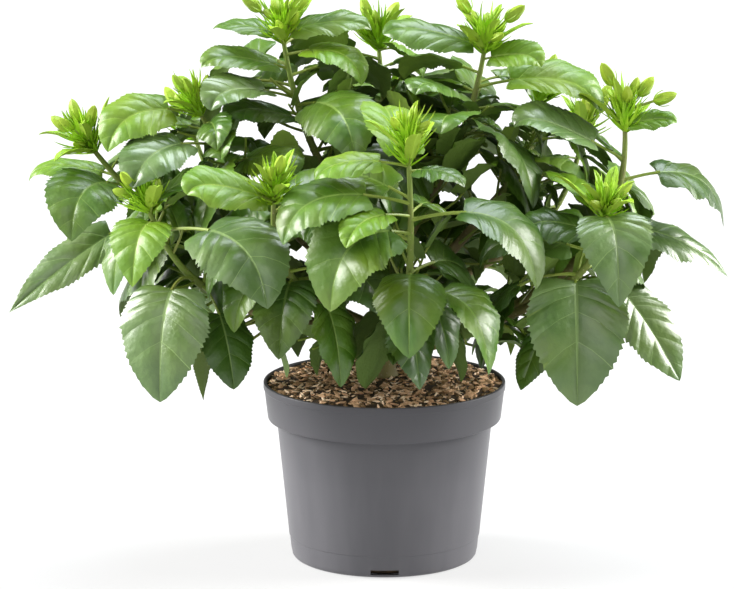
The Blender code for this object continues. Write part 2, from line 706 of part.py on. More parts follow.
def grow_young_leaves(stems, crown, skins):
    """Small upright leaves spread round the last stretch of each stem."""
    for name, _, _, first_turn, _, seed in SHOOTS:
        stem, rng = stems[name], random.Random(seed + 100)
        for k in range(YOUNG_LEAVES):
            place = 0.86 + 0.022 * k
            turn = math.radians(first_turn + 60) + k * GOLDEN_TURN
            node, along = stem.point(place), stem.slope(place)
            across = along.cross(Vector((0.3, 0.9, 0.2))).normalized()
            outward = across * math.cos(turn) + along.cross(across) * math.sin(turn)
            length = (34 - 3 * k + rng.uniform(-2, 2)) * MM
            spread = 1.0 - 0.1 * k
            tip = node + (along * (1 - 0.4 * spread) + outward * spread).normalized() * length
            leaf = (leaf_arc(node, tip, 0.5), length * 0.8, 0.62, 0.0, True)
            try_leaf(crown, name, skins[name], leaf)


def grow_buds(stems, crown, skins):
    for name, tip in BUDS:
        root = stems[name].point(0.97)
        skin = bud_skin(root, in_metres(tip))
        if not crown.blocks(skin, lambda n: n not in (name, name + "_stem")):
            crown.add(name, skin)
            skins[name].append(skin)


def make_masses(limbs, crown, finish):
    """Grows every mass's leaves and buds, then fuses each mass onto its stem."""
    stems = make_stems(limbs, crown)
    skins = {name: [] for name in stems}
    grow_buds(stems, crown, skins)
    grow_outline_leaves(stems, crown, skins)
    leave_sky_gaps(crown)
    grow_low_leaves(stems, crown, skins)
    grow_young_leaves(stems, crown, skins)
    grow_rule_leaves(stems, crown, skins)
    for name, stem in stems.items():
        mass = make_object(name, limb_skin(stem, 5, 5), finish)
        join_all(mass, skins[name], finish)


def clear_scene():
    for obj in list(bpy.data.objects):
        bpy.data.objects.remove(obj)


def main():
    clear_scene()
    finishes = {name: make_finish(name) for name in FINISHES}
    crown = Crown()
    for solid in (make_pot(finishes["pot_plastic"]), make_mix(finishes["potting_mix"])):
        mesh = solid.data
        corners = [v.co.copy() for v in mesh.vertices]
        crown.add(solid.name, (corners, [tuple(p.vertices) for p in mesh.polygons]))
    trunk = make_trunk(crown, finishes["bark"])
    limbs = make_boughs(trunk, crown, finishes["bark"])
    make_masses(limbs, crown, finishes["foliage"])


main()
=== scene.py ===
"""Looks of a potted hibiscus shrub.

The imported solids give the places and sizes. The crown is grown again here by the rule that shaped
the solids, with finer twigs in the axils of its leaves. Every part of it is a shape bent along its
own arc: leaf blades with veins and teeth, leaf stalks, stems, buds and their bracts, bark.
"""

import json
import math
import random
from collections import namedtuple

import bmesh
import bpy
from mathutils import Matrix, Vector
from mathutils.bvhtree import BVHTree

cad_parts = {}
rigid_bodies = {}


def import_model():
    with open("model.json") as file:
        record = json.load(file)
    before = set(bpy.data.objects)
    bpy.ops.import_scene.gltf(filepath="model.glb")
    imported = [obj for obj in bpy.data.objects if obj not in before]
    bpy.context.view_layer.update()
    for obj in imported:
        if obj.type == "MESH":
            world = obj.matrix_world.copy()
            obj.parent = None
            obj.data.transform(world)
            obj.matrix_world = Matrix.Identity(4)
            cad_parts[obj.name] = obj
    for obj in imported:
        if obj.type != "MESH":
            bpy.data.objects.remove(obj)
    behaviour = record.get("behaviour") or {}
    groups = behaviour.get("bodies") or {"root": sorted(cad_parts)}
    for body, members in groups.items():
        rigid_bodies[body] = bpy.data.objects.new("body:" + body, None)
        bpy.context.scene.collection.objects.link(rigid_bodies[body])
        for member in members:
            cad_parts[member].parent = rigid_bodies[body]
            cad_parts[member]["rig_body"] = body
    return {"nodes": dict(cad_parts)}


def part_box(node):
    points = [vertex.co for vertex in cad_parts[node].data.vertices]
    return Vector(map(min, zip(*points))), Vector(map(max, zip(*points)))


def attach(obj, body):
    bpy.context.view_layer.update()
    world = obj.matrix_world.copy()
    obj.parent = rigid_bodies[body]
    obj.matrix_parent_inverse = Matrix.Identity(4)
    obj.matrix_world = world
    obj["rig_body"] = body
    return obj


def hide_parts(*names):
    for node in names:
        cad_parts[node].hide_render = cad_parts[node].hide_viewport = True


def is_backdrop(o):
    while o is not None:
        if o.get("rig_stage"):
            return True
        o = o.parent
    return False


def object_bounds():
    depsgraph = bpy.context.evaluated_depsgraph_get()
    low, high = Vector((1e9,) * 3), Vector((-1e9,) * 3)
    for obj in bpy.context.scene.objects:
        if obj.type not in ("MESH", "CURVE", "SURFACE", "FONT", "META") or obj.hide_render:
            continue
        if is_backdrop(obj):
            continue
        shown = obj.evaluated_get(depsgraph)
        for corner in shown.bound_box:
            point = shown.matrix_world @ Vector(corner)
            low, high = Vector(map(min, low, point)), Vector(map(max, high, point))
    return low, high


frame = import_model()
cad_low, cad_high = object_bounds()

MM = 0.001
UP = Vector((0, 0, 1))
GOLDEN_TURN = math.radians(137.5)
ASKEW = Vector((0.3, 0.9, 0.2))

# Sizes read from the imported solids.
POT_LOW, POT_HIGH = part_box("pot")
RIM_RADIUS = (POT_HIGH.x - POT_LOW.x) / 2
POT_HEIGHT = POT_HIGH.z
TRUNK_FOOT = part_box("trunk")[0].z
CAD_TOP = cad_high.z

# Pot.
RIM_BAND = 20.5 * MM
BAND_FOOT_RADIUS = 62.6 * MM
NECK_RADIUS = 57.9 * MM
FOOT_RADIUS = 49.8 * MM
FOOT_ROUND = 3.5 * MM
WALL = 1.6 * MM
SLOTS = 4
SLOT_WIDTH = 15 * MM
SLOT_LOW = 1.8 * MM
SLOT_HIGH = 4.6 * MM
SLOT_DEPTH = 3.4 * MM

# Potting mix, heaped a little towards the trunk.
MIX_LEVEL = POT_HEIGHT - 0.9 * MM
MIX_HEAP = 3 * MM
MIX_EDGE_DIP = 0.5 * MM
MIX_DIP_RINGS = 2.0
MIX_TOP_FROM = MIX_LEVEL - 1.1 * MIX_EDGE_DIP
MIX_BARE_EDGE = 0.4 * MM
MIX_BAND_SHARE = 0.85
MIX_RINGS = 34
MIX_SIDES = 96
MIX_WAVE = 0.6 * MM
MIX_GRAIN = 0.35 * MM
MIX_FADE = 4 * MM
CRUMB_SLOPE = 0.85
CRUMB_LEAN = 0.5

# Wood.
TRUNK_COLLAR = (0, 0, 98.8)
TRUNK_TOP = (3, 2, 158)
TRUNK_LEAN = (-2, 1, 0)
TRUNK_PLACES = (0, 0.12, 0.35, 0.7, 1.0)
TRUNK_RADII = (8.5, 6.3, 5.6, 5.0, 4.2)
TRUNK_SIDES = 10
SEAT_GAP = 0.3 * MM
STEM_STRAIGHT = 0.45
STEM_FOOT_SHARE = 0.95
STEM_TIP_RADIUS = 1.1 * MM

# Sides and spans of the coarse skins that the growing rule tests, and of the fine tubes.
BOUGH_SKIN, STEM_SKIN, TWIG_SKIN = (6, 6), (5, 5), (4, 3)
TRUNK_TUBE, BOUGH_TUBE, STEM_TUBE = (28, 70), (14, 96), (10, 78)
TWIG_TUBE, STALK_TUBE, BUD_STALK_TUBE, BUD_TUBE = (6, 8), (6, 7), (6, 6), (10, 9)

# Coarse leaf that the growing rule tests for room: (place along the blade, share of the half width).
LEAF_OUTLINE = ((0.0, 0.06), (0.1, 0.72), (0.38, 1.0), (0.74, 0.64))
YOUNG_OUTLINE = ((0.0, 0.2), (0.4, 1.0))
LEAF_THICKNESS = 1.2 * MM
LEAF_FOLD = 0.2
PETIOLE_RADIUS = 0.95 * MM
PETIOLE_LIFT = 0.35
LEAST_STALK = 0.06
BIG_LEAF = 62 * MM
LEAF_SLIMNESS = 0.72
LEAF_REACH = 1.18
LEAF_ARCH = 0.85
OUTWARD_LEAN = 0.5
OUTWARD_ROLL = math.radians(40)
CLEARANCE = 0.45 * MM
BARE_ROOT = 6 * MM
YOUNG_BARE_ROOT = 3 * MM
LOWEST_TIP = 84 * MM

# What a leaf tries in turn where it has no room: turned by, tilted by, share of its size.
LEAF_TRIES = [
    (math.radians(turned_by), math.radians(tilted_by), shrink)
    for shrink in (1.0, 0.84, 0.7, 0.58)
    for tilted_by in (0, 16, -16)
    for turned_by in (0, 28, -28, 56, -56)
]

# Dome that the crown's inner leaves stay in: centre and half sizes.
DOME_CENTRE = Vector((-8 * MM, 6 * MM, 152 * MM))
DOME_WIDE = 153 * MM
DOME_DEEP = 148 * MM
DOME_FRONT = 84 * MM
DOME_HIGH = 116 * MM
DOME_LOW = 56 * MM

# Gaps that the inner leaves leave open to a viewer in front: x, z and radius in mm, on the plane
# through the pot's axis.
EYE = Vector((-9, -2152, 601)) * MM
SKY_GAPS = (
    (-40, 226, 4.5), (-71, 234, 3.5), (-63, 249, 3.5), (-37, 258, 3.5), (-72, 202, 5),
    (-36, 168, 3), (-15, 136, 4), (48, 215, 3.5), (68, 252, 5), (64, 238, 4),
    (96, 195, 5), (94, 223, 4), (114, 237, 4.5), (-116, 217, 6), (-103, 219, 5),
    (-145, 193, 7), (-44, 164, 3.5), (-43, 131, 5), (21, 126, 3), (57, 151, 5),
    (31, 195, 3), (55, 198, 4),
)

# Leaves that hang in over the mix from the foot of each low stem.
LOW_STEM = 180 * MM
LOW_LEAVES = 3
LOW_FIRST = 0.02
LOW_PLACE_STEP = 0.05
LOW_TURN_STEP = math.radians(34)
LOW_LEAF = 46 * MM
LOW_BLADE_SHARE = 0.62
LOW_TIP_SHARE = 0.6
LOW_TIP_HEIGHT = 103 * MM
LOW_TIP_RISE = 9 * MM
LOW_ARCH = 0.6

# Boughs: name, parent, place on the parent, tip in mm, sag, foot and tip radius in mm.
BOUGHS = (
    ("bough_west", "trunk", 0.3, (-110, 8, 172), 0.16, 3.6, 2.6),
    ("bough_east", "trunk", 0.21, (103, -20, 167), 0.17, 3.8, 2.8),
    ("bough_front", "trunk", 0.39, (10, -58, 150), 0.14, 3.2, 2.4),
    ("bough_back", "trunk", 0.47, (8, 80, 165), 0.14, 3.4, 2.5),
    ("bough_upper_west", "trunk", 0.64, (-62, 2, 192), 0.08, 3.2, 2.4),
    ("bough_upper_east", "trunk", 0.58, (62, 20, 194), 0.08, 3.2, 2.4),
    ("bough_top_west", "trunk", 0.8, (-34, 14, 212), 0.03, 3.0, 2.3),
    ("bough_top_east", "trunk", 1.0, (34, 6, 214), 0.03, 3.0, 2.3),
    ("bough_front_west", "bough_west", 0.34, (-92, -30, 152), 0.1, 2.7, 2.3),
    ("bough_front_east", "bough_east", 0.46, (98, -45, 161), 0.08, 2.7, 2.2),
    ("bough_mid_front", "bough_front", 0.4, (-42, -52, 158), 0.08, 2.5, 2.1),
    ("bough_back_west", "bough_back", 0.3, (-70, 74, 160), 0.12, 2.7, 2.2),
    ("bough_back_east", "bough_back", 0.42, (76, 70, 158), 0.12, 2.7, 2.2),
    ("bough_top_back", "bough_back", 0.6, (2, 54, 205), -0.06, 2.6, 2.1),
)

# Shoots, one to a mass, each at the tip of the bough of its name.
Shoot = namedtuple("Shoot", "name tip first_turn leaves seed")
SHOOTS = (
    Shoot("foliage_west", (-160, -2, 230), 20, 13, 11),
    Shoot("foliage_east", (126, -8, 248), 200, 13, 12),
    Shoot("foliage_front", (11, -76, 246), 60, 14, 13),
    Shoot("foliage_back", (2, 138, 226), 80, 16, 14),
    Shoot("foliage_upper_west", (-102, -4, 250), 100, 14, 15),
    Shoot("foliage_upper_east", (84, 34, 250), 140, 15, 16),
    Shoot("foliage_top_west", (-55, 12, 289), 40, 14, 17),
    Shoot("foliage_top_east", (54, 4, 284), 10, 14, 18),
    Shoot("foliage_front_west", (-126, -44, 206), 75, 12, 19),
    Shoot("foliage_front_east", (114, -60, 204), 300, 13, 20),
    Shoot("foliage_mid_front", (-56, -78, 218), 150, 14, 21),
    Shoot("foliage_back_west", (-108, 102, 222), 30, 16, 22),
    Shoot("foliage_back_east", (112, 96, 224), 250, 16, 23),
    Shoot("foliage_top_back", (-4, 66, 276), 190, 15, 24),
)

# The large leaves that set the crown's outline and its front, in the order of growing. Each has its place on
# its shoot's stem, tip in mm, blade length in mm, slimness, arch, roll in degrees, tint; the tint is partly
# the leaf's age and partly painted shade, deep on the low leaves in front of the trunk and on some leaves
# that the lamps light strongly.
OUTLINE_LEAVES = (
    ("foliage_west", (
        (0.66, (-190, 10, 203), 42, 0.5, 0.75, 20, "fresh"),
        (0.56, (-164, -38, 180), 50, 0.84, 1.0, 25, "mid"),
        (0.3, (-200, -12, 136), 66, 0.41, 0.1, 40, "waxy"),
    )),
    ("foliage_front_west", (
        (0.8, (-131, -64, 161), 40, 0.86, 0.8, 0, "fresh"),
        (0.2, (-117, -70, 101), 60, 0.84, 1.05, 0, "waxy"),
        (0.12, (-97, -8, 87), 42, 0.5, 0.7, 55, "waxy"),
        (0.1, (-79, -58, 105), 40, 0.8, 0.5, 0, "deep"),
        (0.72, (-60, -104, 158), 60, 0.8, 0.8, -25, "waxy"),
    )),
    ("foliage_mid_front", (
        (0.88, (-101, -88, 214), 44, 0.7, 0.8, 30, "fresh"),
    )),
    ("foliage_upper_west", (
        (0.88, (-145, -30, 226), 46, 0.72, 0.8, 30, "fresh"),
        (0.6, (-131, -52, 211), 44, 0.78, 0.7, 15, "waxy"),
    )),
    ("foliage_top_west", (
        (0.7, (-97, 0, 266), 42, 0.6, 0.72, 28, "mid"),
        (0.5, (-91, -24, 247), 42, 0.66, 0.9, 25, "waxy"),
        (0.34, (-84, -12, 240), 42, 0.6, 0.7, 15, "deep"),
        (0.92, (-92, 24, 283), 34, 0.56, 0.5, 25, "mid"),
        (0.93, (-7, 6, 285), 43, 0.56, 0.65, -18, "mid"),
    )),
    ("foliage_top_east", (
        (0.9, (-1, 0, 284), 48, 0.62, 0.55, 20, "mid"),
        (0.5, (16, -28, 256), 40, 0.74, 0.9, 15, "mid"),
        (0.34, (29, -44, 238), 44, 0.78, 0.9, 0, "mid"),
        (0.82, (82, -12, 268), 30, 0.7, 0.8, -35, "fresh"),
        (0.62, (114, -4, 242), 56, 0.6, 0.76, -22, "fresh"),
    )),
    ("foliage_east", (
        (0.72, (68, -24, 238), 44, 0.78, 0.8, 25, "waxy"),
        # Deep tint here is painted shade against the right lamp's strong light.
        (0.6, (180, -6, 181), 54, 0.7, 0.85, -14, "deep"),
        (0.3, (184, 4, 152), 60, 0.46, 0.3, -30, "waxy"),
        (0.9, (154, -14, 239), 28, 0.6, 0.5, -30, "fresh"),
    )),
    ("foliage_front_east", (
        (0.88, (120, -86, 155), 52, 0.76, 0.9, 0, "waxy"),
        (0.7, (74, -60, 190), 42, 0.72, 0.8, 15, "deep"),
    )),
    ("foliage_east", (
        (0.06, (156, -34, 104), 54, 0.6, 0.16, -35, "waxy"),
    )),
    ("foliage_front_east", (
        (0.05, (100, -70, 99), 66, 0.8, 0.45, 0, "waxy"),
    )),
    ("foliage_east", (
        (0.1, (71, -60, 105), 34, 0.7, 0.2, 0, "deep"),
    )),
    ("foliage_front", (
        # Deep tint here is painted shade against the left lamp's strong light.
        (0.62, (77, -94, 166), 60, 0.8, 0.9, -8, "deep"),
        (0.84, (40, -98, 220), 28, 0.86, 0.6, -10, "deep"),
        (0.3, (12, -112, 134), 50, 0.76, 0.9, 0, "mid"),
        (0.14, (53, -94, 121), 54, 0.78, 0.9, 0, "mid"),
        (0.1, (33, -80, 121), 40, 0.7, 0.8, 0, "deep"),
        (0.05, (18, -72, 108), 40, 0.84, 0.3, 0, "deep"),
        (0.55, (-28, -106, 157), 60, 0.8, 0.9, 32, "mid"),
        (0.7, (-52, -98, 190), 54, 0.72, 0.85, 20, "mid"),
        (0.86, (-36, -88, 222), 36, 0.74, 0.6, 20, "fresh"),
        (0.64, (-20, -116, 192), 34, 0.7, 0.7, 10, "fresh"),
    )),
    ("foliage_mid_front", (
        (0.05, (-23, -70, 109), 44, 0.76, 0.8, 0, "mid"),
        (0.16, (-55, -80, 126), 42, 0.8, 0.5, 0, "deep"),
    )),
    # Low leaves in front of the trunk, whose deep tint is painted shade.
    ("foliage_front", (
        (0.07, (-10, -52, 104), 40, 0.8, 0.3, 0, "deep"),
        (0.08, (40, -46, 106), 42, 0.8, 0.6, 0, "deep"),
    )),
    ("foliage_front_west", (
        (0.08, (-52, -36, 106), 46, 0.8, 0.6, 0, "deep"),
    )),
)

# Flower buds that show on the outline: shoot, tips in mm.
BUDS = (
    ("foliage_west", ((-177, 0, 240), (-166, 4, 249), (-153, -6, 247))),
    ("foliage_east", ((114, -8, 270), (142, -4, 262), (154, -10, 254))),
    ("foliage_top_west", ((-76, 10, 303), (-40, 12, 306))),
    ("foliage_top_east", ((38, 4, 306), (74, 2, 299))),
    ("foliage_upper_west", ((-112, -4, 263),)),
    ("foliage_front_west", ((-142, -46, 209),)),
    ("foliage_front", ((3, -86, 254), (23, -80, 251))),
    ("foliage_upper_east", ((92, 36, 268),)),
    ("foliage_back", ((-8, 150, 242), (14, 146, 240))),
    ("foliage_back_west", ((-122, 112, 238),)),
    ("foliage_back_east", ((126, 104, 241),)),
    ("foliage_top_back", ((-12, 74, 294), (8, 66, 292))),
)

BUD_ROOT = 0.97
BUD_LENGTH = 14 * MM
BUD_RADIUS = 3.5 * MM

# What is added to a shoot's seed for its other growth.
YOUNG_SEED, SPRIG_SEED, TUFT_SEED = 100, 200, 300

# Leaves by rule up each stem: the first one's place and the stretch they cover, size at the foot and
# what it loses by the tip, tilt at the foot and what it gains in degrees, how far the draws vary.
RULE_FIRST, RULE_STRETCH = 0.03, 0.9
RULE_SIZE, RULE_SIZE_LOSS, RULE_SIZE_VARIES = 1.06, 0.46, 0.06
RULE_TILT, RULE_TILT_GAIN, RULE_TILT_VARIES = -52, 60, 8
RULE_TURN_VARIES = 0.2

# Young leaves round the end of each stem: places, length in mm and what each loses of it, how far
# they stand off.
YOUNG_LEAVES = 7
YOUNG_FIRST, YOUNG_STEP = 0.86, 0.022
YOUNG_LENGTH, YOUNG_LENGTH_LOSS, YOUNG_LENGTH_VARIES = 34, 3, 2
YOUNG_SPREAD_LOSS = 0.1
YOUNG_BLADE_SHARE = 0.8
YOUNG_SLIMNESS = 0.62
YOUNG_ARCH = 0.5

# Finer growth that the solids only hint at, on stems and on boughs: twigs, the lowest one's place,
# the stretch they cover, size.
STEM_SPRIGS = (10, 0.08, 0.76, 1.0)
BOUGH_SPRIGS = (10, 0.35, 0.62, 1.35)
SPRIG_TURNS = (0, 1.2, -1.2, 2.4)
SPRIG_LENGTH = 28 * MM
SPRIG_RADIUS = 0.9 * MM
SPRIG_LENGTH_SHARE = (0.75, 1.2)
SPRIG_LOSS = 0.35
SPRIG_BOW = 0.12
SPRIG_LEAVES = 3
SPRIG_LEAF_STEP = 0.28
SPRIG_LEAF = 22 * MM
SPRIG_LEAF_SHARE = (0.85, 1.2)
SPRIG_LEAF_LOSS = 0.12
SPRIG_FOOT_SIZE, SPRIG_TOP_LOSS = 1.2, 0.5
SPRIG_SHRINKS = (1.0, 0.75)
SPRIG_LEAF_REACH = 1.25
SPRIG_DROOP = (-0.5, 0.05)
SPRIG_SLIMNESS = (0.64, 0.76)
SPRIG_ARCH = 0.7
STALK_RADIUS = 1.0 * MM
STALK_FLARE = 0.35
STALK_TAPER = -0.15
TWIG_TAPER = -0.35

# Tuft of narrow leaflets and small buds round each stem's tip. Pairs are the least and the most.
TUFT_LEAFLETS = 76
TUFT_FOOT, TUFT_STRETCH = 0.86, 0.135
TUFT_LEAFLET = 17 * MM
TUFT_LEAFLET_WIDTH = 2.4 * MM
TUFT_WIDTH_SHARE = (0.7, 1.2)
TUFT_FOLD = (0.1, 0.5)
TUFT_ROLL, TUFT_TWIST = 0.3, 0.4
TUFT_LENGTH_SHARE = (0.6, 1.25)
TUFT_SPREAD = (0.35, 2.0)
TUFT_OPENING, TUFT_CLOSING = 1.4, 0.6
TUFT_RISE = 0.5
TUFT_BOW = (0.05, 0.2)
TUFT_BUD_EVERY = 11
TUFT_BUDS_ABOVE = 0.3

# Blade forms: teeth on a side, teeth to a vein, depth of a tooth, tip, swell between veins, seed.
BLADE_FORMS = {
    "broad": (20, 4, 0.06, 0.74, 0.8, 1),
    "plain": (16, 3, 0.07, 0.86, 0.85, 3),
    "long": (20, 4, 0.08, 1.1, 0.65, 2),
    "narrow": (7, 2, 0.1, 1.0, 0.5, 5),
    "small_1": (5, 2, 0.1, 0.8, 0.5, 4),
    "small_2": (6, 2, 0.12, 1.1, 0.4, 6),
    "small_3": (5, 2, 0.08, 0.95, 0.6, 7),
    "small_4": (6, 3, 0.1, 0.9, 0.5, 8),
    "small_5": (5, 2, 0.12, 1.0, 0.4, 9),
}
SMALL_FORMS = [name for name in BLADE_FORMS if name.startswith("small")]
YOUNG_WIDTH = 0.5

# How each leaf is folded along its midrib, curled at its margin, rippled, rolled and twisted.
BLADE_FOLD, YOUNG_FOLD = 0.2, 0.45
FOLD_VARIES = (-0.1, 0.12)
BLADE_CURL = (0.1, 0.38)
BLADE_WAVE = (0.03, 0.09)
BLADE_ROLL = 0.1
BLADE_TWIST = 0.3

# Buds: most of the way to the tip that a bud fills, how far it leans in mm, its stalk and bracts.
BUD_SHARE = 0.62
BUD_RIBS = 5
BUD_SIZE_SHARE = (0.85, 1.0)
BRACT_SHARE = (0.85, 1.15)
BUD_LEAN = 1.2
BUD_STALK_RADIUS = 0.8 * MM
BRACTS = 7
BRACT_LENGTH = 9 * MM
BRACT_WIDTH = 1.7 * MM

# Rings of leaf scars: count, how far they stand out, how long each is.
STEM_SCARS = (13, 0.16, 0.012)
BOUGH_SCARS = (9, 0.06, 0.01)

# Flare and ribs of the trunk's foot, and the collar at a bough's.
FLARE_LENGTH = 0.09
TRUNK_RIBS, RIB_SHARE = 5, 0.1
COLLAR_SHARE, COLLAR_LENGTH = 0.3, 0.06
BOUGH_END = 1.006
STEM_ROUND = 0.995

# Relief of the skin: its depth, its ridges along and round the limb.
STEM_RELIEF = (0.25 * MM, 22.0, 1.6)
TRUNK_RELIEF = (0.9 * MM, 7.0, 2.4)
BOUGH_RELIEF = (0.5 * MM, 16.0, 1.8)

# Leaf blade: how round it is at the base and how drawn out at the tip, its veins and thickness.
ROUND_BASE = 0.5
HEART_BASE = 0.1
HEART_END = 0.2
VEINS_FORWARD = 2.1
VEIN_THINNING = 0.6
VEIN_END = 0.002
BASE_WIDTH = 0.055
BASE_ROWS = ((0.0, 0.012, 0.0), (0.002, 0.035, 0.3))
FIRST_DEPTH, DEPTH_GAIN = 0.3, 3
FIRST_TOOTH = 0.075
TEETH_STRETCH = 0.88
NOTCH = 0.22
BLADE_END = 0.975
LEAST_SWELL = 0.4
VEIN_SHARE = 0.009
MIDRIB_SHARE = 0.04
BLADE_COLUMNS = (MIDRIB_SHARE, 0.4, 0.75, 1.0)
UNDER_COLUMN = 0.5
BLADE_THICKNESS = 0.36
MIDRIB_DEPTH = 0.45
MIDRIB_GROOVE = 0.18
ROW_SWEEP = 1.25
MARGIN_WOBBLE = 0.02
SHARP_ANGLE = math.radians(42)

# Fine forms of the pot.
POT_SIDES = 128
FOOT_RING_HEIGHT = 12 * MM
FOOT_RING_STEP = 0.35 * MM
LIP_DEPTH = 4 * MM
LIP_STEP = 0.5 * MM
BAND_STEP = 0.4 * MM
FOOT_FLAT = 8 * MM

# How far the pot's edges are rounded.
LINE_ROUND = 0.2 * MM
NECK_ROUND = 1.2 * MM
BAND_ROUND = 1.0 * MM
LIP_ROUND = 0.25 * MM
RIM_ROUND = 0.7 * MM
RIM_INNER_ROUND = 0.5 * MM
INNER_ROUND = 0.6 * MM
FLOOR_ROUND = 1.5 * MM

# Colours.
# The pot's darkest grey is painted shade of the crown, at its rim.
POT_GREY_SHADED = (0.070, 0.069, 0.076)
POT_GREY_DEEP = (0.090, 0.089, 0.098)
POT_GREY_PALE = (0.110, 0.108, 0.118)
FLOOR_WHITE = (0.18, 0.18, 0.18)
FLOOR_GLOW = 0.66
# The mix's near-black brown is partly damp peat's own colour and partly painted shade between the crumbs.
MIX_DARK_AND_SHADE = (0.010, 0.005, 0.002)
MIX_WARM = (0.085, 0.048, 0.018)
PEAT_WARM = (0.40, 0.25, 0.12)
CHIP_DARK = (0.46, 0.25, 0.12)
CHIP_RED = (0.95, 0.62, 0.38)
FIBRE_TAN = (0.98, 0.86, 0.66)
BARK_YOUNG = (0.23, 0.21, 0.065)
BARK_OLD = (0.20, 0.145, 0.065)
BARK_SCAR = (0.40, 0.34, 0.20)
STEM_GREEN = (0.16, 0.235, 0.03)
STEM_OLIVE = (0.15, 0.165, 0.035)
STEM_SCAR = (0.28, 0.27, 0.11)
STALK_GREEN = (0.17, 0.25, 0.03)
STALK_PALE = (0.24, 0.32, 0.05)
STALK_WARM = (0.24, 0.24, 0.06)
BUD_GREEN = (0.22, 0.34, 0.018)
BUD_LIME = (0.31, 0.45, 0.025)
BUD_OLIVE = (0.23, 0.28, 0.015)
TUFT_GREEN = (0.25, 0.48, 0.014)
TUFT_LIME = (0.38, 0.62, 0.03)

# Leaf tints, from the oldest to the youngest, the darker ones also set on leaves inside the crown as painted
# shade: deep and pale skin, veins, underside.
LEAF_TINTS = {
    "deep": ((0.026, 0.074, 0.005), (0.050, 0.112, 0.009), (0.070, 0.116, 0.006),
             (0.12, 0.20, 0.04), (0.085, 0.145, 0.025)),
    "mid": ((0.050, 0.128, 0.008), (0.088, 0.180, 0.014), (0.118, 0.180, 0.008),
            (0.17, 0.28, 0.05), (0.13, 0.21, 0.035)),
    "waxy": ((0.058, 0.124, 0.020), (0.104, 0.184, 0.044), (0.112, 0.176, 0.030),
             (0.19, 0.29, 0.09), (0.14, 0.21, 0.05)),
    "fresh": ((0.092, 0.205, 0.007), (0.135, 0.260, 0.012), (0.170, 0.255, 0.010),
              (0.25, 0.38, 0.06), (0.19, 0.30, 0.04)),
    "young": ((0.210, 0.390, 0.010), (0.290, 0.480, 0.020), (0.300, 0.420, 0.016),
              (0.38, 0.52, 0.07), (0.28, 0.42, 0.035)),
}
# Roughness of each tint's skin, and how much wax lies on it.
LEAF_WAX = {"deep": (0.38, 0.5), "mid": (0.38, 0.6), "waxy": (0.34, 1.0), "fresh": (0.42, 0.4),
            "young": (0.5, 0.15)}
LEAF_SPECULAR = 0.3

# A leaf's tint goes by its place on its stem, for its age, and by how far out in the light it is, as painted
# light and shade: deeper inside the crown, fresher high up and out at the sides.
PLACE_SHARE = 0.6
LIGHT_SHARE = 0.56
TINT_VARIES = 0.12
DEEP_BELOW = 0.42
MID_BELOW = 0.9

# Light: name, colour, strength, angle of the soft source, elevation and turn in degrees.
SUNS = (
    ("left_light", (1.0, 0.99, 0.97), 7.5, 36, 25, -97),
    ("right_light", (1.0, 0.99, 0.97), 6.0, 36, 25, 100),
    ("front_light", (1.0, 1.0, 0.98), 0.7, 40, 30, -12),
    ("overhead_light", (0.86, 0.94, 1.0), 2.8, 36, 66, 156),
    ("sky_light", (1.0, 1.0, 1.0), 0.9, 110, 85, 0),
)
# Surroundings: white up to a little over the horizon, dim above that. Heights are sines.
SKY_WHITE = (0.97, 0.98, 1.0)
SKY_LOW, SKY_HIGH = 0.1, 0.2
HORIZON_GLOW = 1.0
SKY_GLOW = 0.03

# Camera: its place, its tilt from straight down, its lens in mm and how far it sees.
CAMERA_PLACE = (-0.009358, -2.151925, 0.600916)
CAMERA_TILT = math.radians(78)
CAMERA_LENS = 201.777
CAMERA_REACH = 30
FLOOR_HALF = 6.0


# ---- The growing rule ----

def in_metres(point_mm):
    return Vector(point_mm) * MM


def flat(vector):
    """The level part of a vector."""
    return Vector((vector.x, vector.y, 0))


def turns(count):
    """Equal steps round a circle."""
    return [2 * math.pi * k / count for k in range(count)]


def vary(rng, most):
    """A draw of up to so much either way."""
    return rng.uniform(-most, most)


def turned_out(along, turn):
    """The direction square to `along`, turned round it."""
    across = along.cross(ASKEW).normalized()
    return across * math.cos(turn) + along.cross(across) * math.sin(turn)


def corners_of(points):
    """The lowest and the highest corner of some points."""
    return Vector(map(min, *points)), Vector(map(max, *points))


class Arc:
    """A quadratic curve from a foot, towards a bend, to a tip."""

    def __init__(self, foot, bend, tip):
        self.foot, self.bend, self.tip = foot, bend, tip

    def point(self, t):
        return self.foot * (1 - t) ** 2 + self.bend * 2 * t * (1 - t) + self.tip * t * t

    def slope(self, t):
        return ((self.bend - self.foot) * (1 - t) + (self.tip - self.bend) * t).normalized()

    def course(self, places):
        """Its points and its slopes at some places."""
        return [self.point(t) for t in places], [self.slope(t) for t in places]

    def outward(self, t, turn):
        """The direction that points out of it at a place, turned round it."""
        return turned_out(self.slope(t), turn)


class Limb(Arc):
    """A tapering round limb along an arc."""

    def __init__(self, foot, bend, tip, foot_radius, tip_radius):
        super().__init__(foot, bend, tip)
        self.foot_radius, self.tip_radius = foot_radius, tip_radius

    def radius(self, t):
        return self.foot_radius + (self.tip_radius - self.foot_radius) * t


Leaf = namedtuple("Leaf", "arc blade slimness roll young")
Grown = namedtuple("Grown", "place kind leaf tint")


def loft(rings, tip=None):
    """Points and faces of a closed skin through rings of equal count, flat-ended or drawn to a tip."""
    count = len(rings[0])
    points = [p for ring in rings for p in ring]
    faces = [tuple(reversed(range(count)))]
    for start in range(0, len(points) - count, count):
        for i in range(count):
            j = (i + 1) % count
            faces.append((start + i, start + j, start + count + j, start + count + i))
    last = len(points) - count
    if tip is None:
        faces.append(tuple(range(last, last + count)))
    else:
        points.append(tip)
        faces += [(last + i, last + (i + 1) % count, last + count) for i in range(count)]
    return points, faces


